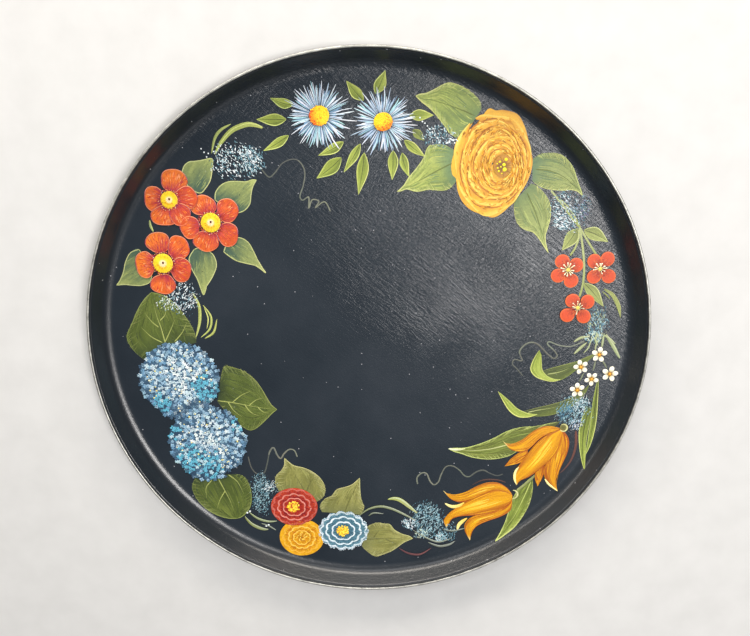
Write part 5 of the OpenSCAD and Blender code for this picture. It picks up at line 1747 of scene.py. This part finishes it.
def make_creams():
    paint = Paint(93)
    eyes = Paint(94)
    eyes.level = 0.28
    for at, reach, turn in CREAMS:
        for k in range(5):
            a = radians(turn + 72 * k + paint.between(-6, 6))
            centre = polar(at, reach * 0.62, a)

            def petal(x, y, share, b):
                away = np.hypot(x - at[0], y - at[1]) / reach
                return blend(srgb(206, 186, 138), srgb(248, 243, 222), smooth_step(away * 2.2 - 0.5))

            paint.disc(centre, reach * 0.37, petal, 0.14, 0.8, a, 4, 18)
            paint.level -= 0.11
        eyes.disc(at, 0.95, lambda x, y, s, a: blend(srgb(232, 176, 40), srgb(196, 132, 36), s), 0.1, 1.0,
                  0.0, 3, 14)
        eyes.dots([polar(at, 1.15, b) for b in np.linspace(0, TAU, 7)], 0.24,
                  [eyes.near(srgb(212, 152, 40), 0.15) for b in range(7)], 0.08)
    paint.finish("cream_petals", DAB_PAINT, "cream_paint", "cream_flowers")
    eyes.finish("cream_eye_dots", DAB_PAINT, "gold_paint", "cream_eyes")
    leaves = Paint(95)
    leaves.level = 0.015
    paint_blade(leaves, [(98, -19), (103, -17.4), (110, -15.4), (117, -13.4), (123, -10.4), (127.4, -8.6)],
                [(101, -23.6), (107, -24.6), (112, -22.2), (117, -18), (122.4, -13.4), (127.4, -8.6)],
                DARK_BLADE, srgb(120, 130, 62), 24, 0.42, 0.0, False)
    leaves.stroke([(100.6, -21), (107, -19.8), (112, -17.6), (115.6, -15.8)], 0.8, srgb(168, 176, 110),
                  srgb(118, 128, 64), 0.05, 16, "tip")
    paint_blade(leaves, [(95.4, -6.8), (92.4, -12.6), (91.2, -18), (93.6, -21.8), (98, -24), (104, -25.2),
                         (108.6, -24)],
                [(96.6, -9.4), (97, -14), (97.6, -18.4), (100, -21.6), (102.6, -23.2), (105.6, -24),
                 (108.6, -24)], BRIGHT_BLADE, srgb(200, 210, 120), 20, 0.45, 0.0, False)
    paint_blade(leaves, [(88, -43.4), (95, -41.4), (103, -39.4), (110, -37.2), (117, -34), (121.4, -30.6),
                         (124.6, -27)],
                [(88, -45.2), (96, -46.2), (104, -45.4), (112, -42.6), (118, -38), (122.6, -32.4),
                 (124.6, -27)], DARK_BLADE, srgb(110, 120, 62), 24, 0.42, 0.0, False)
    leaves.stroke([(91, -43.8), (97, -42.4), (103, -41.4), (109, -39.6)], 0.7, srgb(186, 192, 128),
                  srgb(120, 128, 70), 0.05, 16, "tip")
    paint_blade(leaves, [(73.4, -31.2), (76.6, -37), (80.6, -43), (85.6, -46.4), (91.6, -46.6),
                         (96.4, -45)],
                [(73.4, -31.2), (79.4, -36.4), (84.4, -41.4), (89, -43.8), (92.6, -44.8), (96.4, -45)],
                BRIGHT_BLADE, srgb(206, 214, 122), 18, 0.45, 0.0, False)
    for way in ([(131, -13), (132.4, -15), (133.6, -17.2)], [(127, -13), (126.6, -16), (126, -19)],
                [(121, -20), (120, -22.6), (118.8, -25.4)]):
        leaves.stroke(way, 0.9, srgb(126, 134, 108), srgb(104, 112, 86), 0.04, 8)
    leaves.finish("cream_flower_blades", LEAF_PAINT, "blade_green_paint", "cream_leaves")


# ---------------------------------------------------------------- dabbed sprays

WHITE_DAB = srgb(230, 238, 240)
FOAM_DAB = srgb(166, 198, 206)
TEAL_DAB = srgb(92, 136, 152)
DUSK_DAB = srgb(50, 74, 88)


def paint_spray(paint, at, rx, ry, count, tilt, colours, long=1.0, wide=0.5, lean=0.0):
    """A cloud of small quick dabs, thick in its middle and loose at its edge."""
    for share, number, choices, fine in ((1.12, count, (DUSK_DAB, DUSK_DAB, TEAL_DAB), 0.7),
        (0.95, int(1.25 * count), colours, 0.74), (1.16, count // 2, colours, 0.5)):
        marks = []
        for k in range(number):
            a = paint.between(0, TAU)
            away = share * sqrt(paint.between(0, 1)) * paint.between(0.75, 1.1)
            u, v = rx * away * cos(a), ry * away * sin(a)
            spot = (at[0] + u * cos(lean) - v * sin(lean), at[1] + u * sin(lean) + v * cos(lean))
            way = radians(tilt) + paint.between(-0.7, 0.7)
            half = long * paint.between(0.25, 0.7)
            width = wide * fine * paint.between(0.55, 1.2)
            colour = paint.pick(choices)
            marks.append((polar(spot, -half, way), polar(spot, half, way), width,
                          paint.near(colour, 0.14), paint.near(colour, 0.08)))
        paint.touches(marks, 0.08, "both", 0.0003)


def paint_grass(paint, way, wide, colour, light):
    """One blade of grass laid in a single pull of the brush, lighter along its upper side."""
    paint.stroke(way, wide, paint.near(colour, 0.06), paint.near(blend(colour, light, 0.5), 0.06), 0.09, 26,
                 "both")
    paint.stroke([(x + 0.12 * wide, y + 0.14 * wide) for x, y in way], wide * 0.4, paint.near(light, 0.06),
                 light, 0.05, 26, "both", 1.0, 0.05)


STRAW = srgb(146, 156, 112)
ROSE_DABS = (FOAM_DAB, TEAL_DAB, WHITE_DAB)
SPRAYS = [
    # piece, slot, level,
    # clouds (middle, size across and up, how many, slant, colours, length, width, lean),
    # single dots (places, radius), blades (way, width, colour)
    ("bloom", "white", 0.113, [((-69, 96.4), 14, 9.4, 170, 125, (WHITE_DAB, WHITE_DAB, FOAM_DAB), 1.1, 0.62,
        0.1), ((-61, 96), 6.5, 7.5, 90, 120, ROSE_DABS, 1.4)],
     ([(-87, 102.4), (-85.6, 100.6), (-83.4, 100), (-80.6, 101), (-84.4, 98.2)], 0.4), []),
    ("rose", "white", 0.113, [((37.4, 109), 8.6, 5.6, 90, 120, ROSE_DABS, 1.2)], None, []),
    ("berry", "white", 0.113, [((105.4, 70), 8.4, 11, 150, 150, ROSE_DABS, 1.3, 0.5, 0.4),
        ((113.4, 72), 5.6, 6.6, 60, 150, (srgb(150, 152, 184), FOAM_DAB, DUSK_DAB), 1.1),
                               ((103, 64), 4.5, 4.4, 50, 170, (WHITE_DAB, WHITE_DAB, FOAM_DAB), 1.4, 0.55)],
     None, []),
    ("cream", "teal", 0.113, [((126.4, 9), 6.0, 9.6, 120, 110, (FOAM_DAB, srgb(176, 186, 148), TEAL_DAB),
        1.3, 0.55), ((125, 0.8), 5.6, 3.6, 60, 100, (srgb(200, 208, 176), FOAM_DAB), 1.4, 0.6)], None,
     [([(122, 1), (118, 0.4), (114.2, -2)], 1.5, STRAW),
      ([(121.4, -2.4), (118, -5.6), (114.8, -9)], 1.6, STRAW),
      ([(131.6, 2.4), (136, -4), (140.4, -11.4)], 2.0, STRAW),
      ([(130.4, 2), (133.6, 0), (137.2, -3.2)], 1.4, STRAW),
      ([(127.4, -1), (126.6, -4), (126.4, -7)], 1.0, STRAW),
      ([(130.6, 3), (130.2, -2), (130, -5)], 1.2, STRAW),
      ([(126.6, 4), (126.2, -1), (127.6, -4)], 1.0, STRAW),
      ([(124, 1), (122.6, -5), (120, -8.6)], 0.8, STRAW)]),
    ("tulip", "teal", 0.08, [((116.6, -42.6), 10, 9.4, 190, 60, (FOAM_DAB, TEAL_DAB, FOAM_DAB), 1.3, 0.5,
                              0.5), ((112.4, -42), 4.6, 4.6, 50, 60, (srgb(70, 124, 152), TEAL_DAB), 1.3,
                                  0.6),
                              ((121, -39), 4.4, 5.6, 60, 70, (WHITE_DAB, FOAM_DAB), 1.1),
                             ((119, -51), 4.0, 3.4, 34, 70, (srgb(180, 196, 226), WHITE_DAB), 0.9)], None,
     []),
    ("scallop", "teal", 0.113, [((35, -112.4), 9.4, 12, 210, 65, (FOAM_DAB, TEAL_DAB, FOAM_DAB), 1.6, 0.5,
        0.2), ((24.6, -114.6), 4.6, 4, 50, 110, (WHITE_DAB, FOAM_DAB), 1.4, 0.55),
                                 ((31.6, -121), 4.2, 3.4, 40, 100, (srgb(206, 220, 196), FOAM_DAB), 1.3,
                                     0.55), ((43, -123.4), 3.6, 3.2, 44, 80,
                                         (srgb(158, 204, 216), FOAM_DAB, WHITE_DAB), 1.1, 0.6),
                                 ((48, -120), 4.6, 6, 46, 90, (TEAL_DAB, FOAM_DAB), 1.2, 0.45)], None,
     [([(11.4, -98.8), (15, -98.2), (19, -99.4), (24, -103.4), (28.6, -107.6)], 2.5, srgb(160, 170, 84)),
      ([(-5.4, -109.4), (0, -105.2), (7, -103.4), (14, -105), (22, -109), (27.6, -112.4)], 1.5,
       srgb(116, 126, 78)),
      ([(0, -109.6), (3, -107.7), (8.8, -108.2)], 1.0, srgb(96, 104, 78)),
      ([(35.6, -127), (42, -129.4), (48, -128.4), (51.4, -126.2)], 1.5, srgb(104, 112, 92)),
      ([(44, -118), (50, -119.2), (57.4, -117.4)], 1.0, srgb(98, 108, 90)),
      ([(26.6, -119), (35, -124.2), (42, -126.6), (49.4, -124.2)], 1.0, srgb(110, 120, 96))]),
    ("hydrangea", "teal", 0.113, [((-63.4, -95.6), 5.6, 13.4, 200, 60,
        (FOAM_DAB, TEAL_DAB, srgb(132, 168, 176)), 1.1),
        ((-58, -91), 4.4, 4, 40, 40, (WHITE_DAB, FOAM_DAB), 1.2)],
     ([(-72, -108), (-70.4, -107), (-61, -116.6), (-59.6, -116)], 0.6),
     [([(-73.6, -110.6), (-69.6, -115.4), (-64, -118.4), (-60, -119)], 2.0, srgb(124, 132, 66)),
      ([(-71, -107.6), (-66, -111.6), (-60, -113.6), (-54.6, -113.4)], 1.4, srgb(130, 140, 84)),
      ([(-64, -115), (-59.6, -116.6), (-55.4, -119.4)], 1.0, srgb(100, 108, 80))]),
    ("leaf", "white", 0.12, [((-102, 22.6), 9.4, 9.4, 130, 60, (WHITE_DAB, WHITE_DAB, FOAM_DAB), 1.1, 0.55,
                              -0.5), ((-112, 19.4), 5, 4.6, 30, 60, (srgb(190, 204, 150), WHITE_DAB), 1.2)],
     None, []),
]


def make_sprays():
    for number, (name, slot, level, clouds, spots, blades) in enumerate(SPRAYS):
        paint = Paint(100 + number)
        paint.level = level
        for cloud in clouds:
            paint_spray(paint, *cloud)
        if name == "rose":
            paint.dots([(27 + 1.3 * k, 118 - 1.5 * k + paint.between(-0.5, 0.5)) for k in range(9)], 0.42,
                       [WHITE_DAB] * 9, 0.1)
            paint.dots([(41 + 0.7 * k, 106 + paint.between(-1.4, 1.4)) for k in range(9)], 0.42,
                       [WHITE_DAB] * 9, 0.1)
        for way, wide, colour in blades:
            paint_grass(paint, way, wide, colour, srgb(180, 188, 146) if name == "cream" else blend(colour,
                WHITE_DAB, 0.3))
        if name == "scallop":
            paint.stroke([(18.2, -131), (24, -134.4), (31, -135), (37.4, -130.8)], 1.2, srgb(92, 54, 58),
                         srgb(118, 76, 76), 0.05, 22)
        if spots:
            paint.dots(spots[0], spots[1], [WHITE_DAB] * len(spots[0]), 0.1)
        label = "red_flower" if name == "berry" else "cream_flower" if name == "cream" else name
        paint.finish(f"{label}_dabs", DAB_PAINT, f"{slot}_paint", f"spray_{name}")


def make_lines():
    lines = Paint(110)
    lines.level = 0.02
    dim, clear = srgb(70, 74, 70), srgb(124, 128, 112)
    upper_left = [(-57, 93.6), (-52.4, 88), (-49, 90), (-45, 94.8), (-40, 97), (-36, 96), (-33.2, 91),
                  (-34, 84), (-36, 78), (-34.6, 75.8), (-31.4, 77.4), (-31.4, 71.6), (-29.6, 76),
                  (-26, 75.2), (-28, 71.8), (-23, 75), (-20, 70)]
    right = [(120, -1.6), (113, -4.6), (106, -4), (101, -2), (99.8, -3.4), (103.6, -7), (105.6, -10.2),
             (103.6, -11.6), (100, -9), (95, -4), (91, -2.4), (87, -4), (84.4, -8), (86.2, -13),
             (82, -12.4), (80.8, -15), (83.6, -18), (87, -22)]
    lower_right = [(28.8, -89), (28.4, -85), (31, -82), (34, -82.4), (36, -87), (38.4, -89.4), (41, -87.4),
                   (42.4, -83), (45, -78), (49, -77.4), (53, -80), (56, -83.4), (59, -84), (63, -81),
                   (67, -80), (71, -82), (75, -83.4), (78.4, -82.4)]
    lower_left = [(-70, -72), (-68.4, -79), (-65, -83), (-61, -82), (-59, -76), (-57.4, -69), (-55, -66.4),
                  (-53, -71), (-51, -73), (-49, -70), (-46, -67.4), (-43, -68), (-41.4, -72)]
    for way, first, last in ((upper_left, dim, clear), (right, clear, dim), (lower_right, clear, dim),
                             (lower_left, dim, clear)):
        span = smooth_way(way, len(way) * 7)
        cuts = list(range(0, len(span), 18)) + [len(span) - 1]
        for i, j in zip(cuts, cuts[1:]):
            if j - i < 2:
                continue
            part = [tuple(p) for p in span[max(0, i - 1): j + 1]]
            share = i / len(span)
            colour = blend(first, last, share + lines.between(-0.2, 0.2))
            lines.stroke(part, lines.between(0.62, 0.95), lines.near(colour, 0.1), None, 0.05, len(part),
                         "even")
    lines.finish("tendril_lines", LINE_PAINT, "pale_line_paint", "tendrils")
    grass = Paint(111)
    green, light = srgb(146, 156, 78), srgb(196, 204, 120)
    for way, wide, colour in [([(-80, 99.6), (-76.6, 105.4), (-70.6, 111.6), (-63, 114.6), (-58, 114.2),
        (-54.6, 112.8)], 2.6, green), ([(-81.8, 100), (-79.6, 107.6), (-76.4, 111.8), (-71, 114.8)], 1.6,
            srgb(122, 132, 72)),
                              ([(-96.2, 25), (-93.2, 18), (-93.4, 9), (-96, 0)], 1.7, green),
                              ([(-91, 18.4), (-87, 12), (-88, 5), (-93.2, 0)], 1.2, green),
                              ([(-90.4, 17), (-88.6, 11), (-89.6, 5)], 0.7, light),
                              ([(-83.8, 10.4), (-86, 3), (-91, -0.6)], 1.2, green),
                              ([(-117, 65), (-116.6, 62), (-115.4, 59)], 1.4, srgb(120, 132, 92))]:
        paint_grass(grass, way, wide, colour, light)
    grass.finish("grass_strokes", LINE_PAINT, "sage_paint", "grasses")


make_hydrangeas()
make_asters()
make_rose()
make_scallops()
make_tulips()
make_berries()
make_creams()
make_sprays()
make_lines()


floor = build_mesh("studio_floor", [(-4, -4, 0), (4, -4, 0), (4, 4, 0), (-4, 4, 0)], [(0, 1, 2, 3)],
                   FLOOR_PAPER)
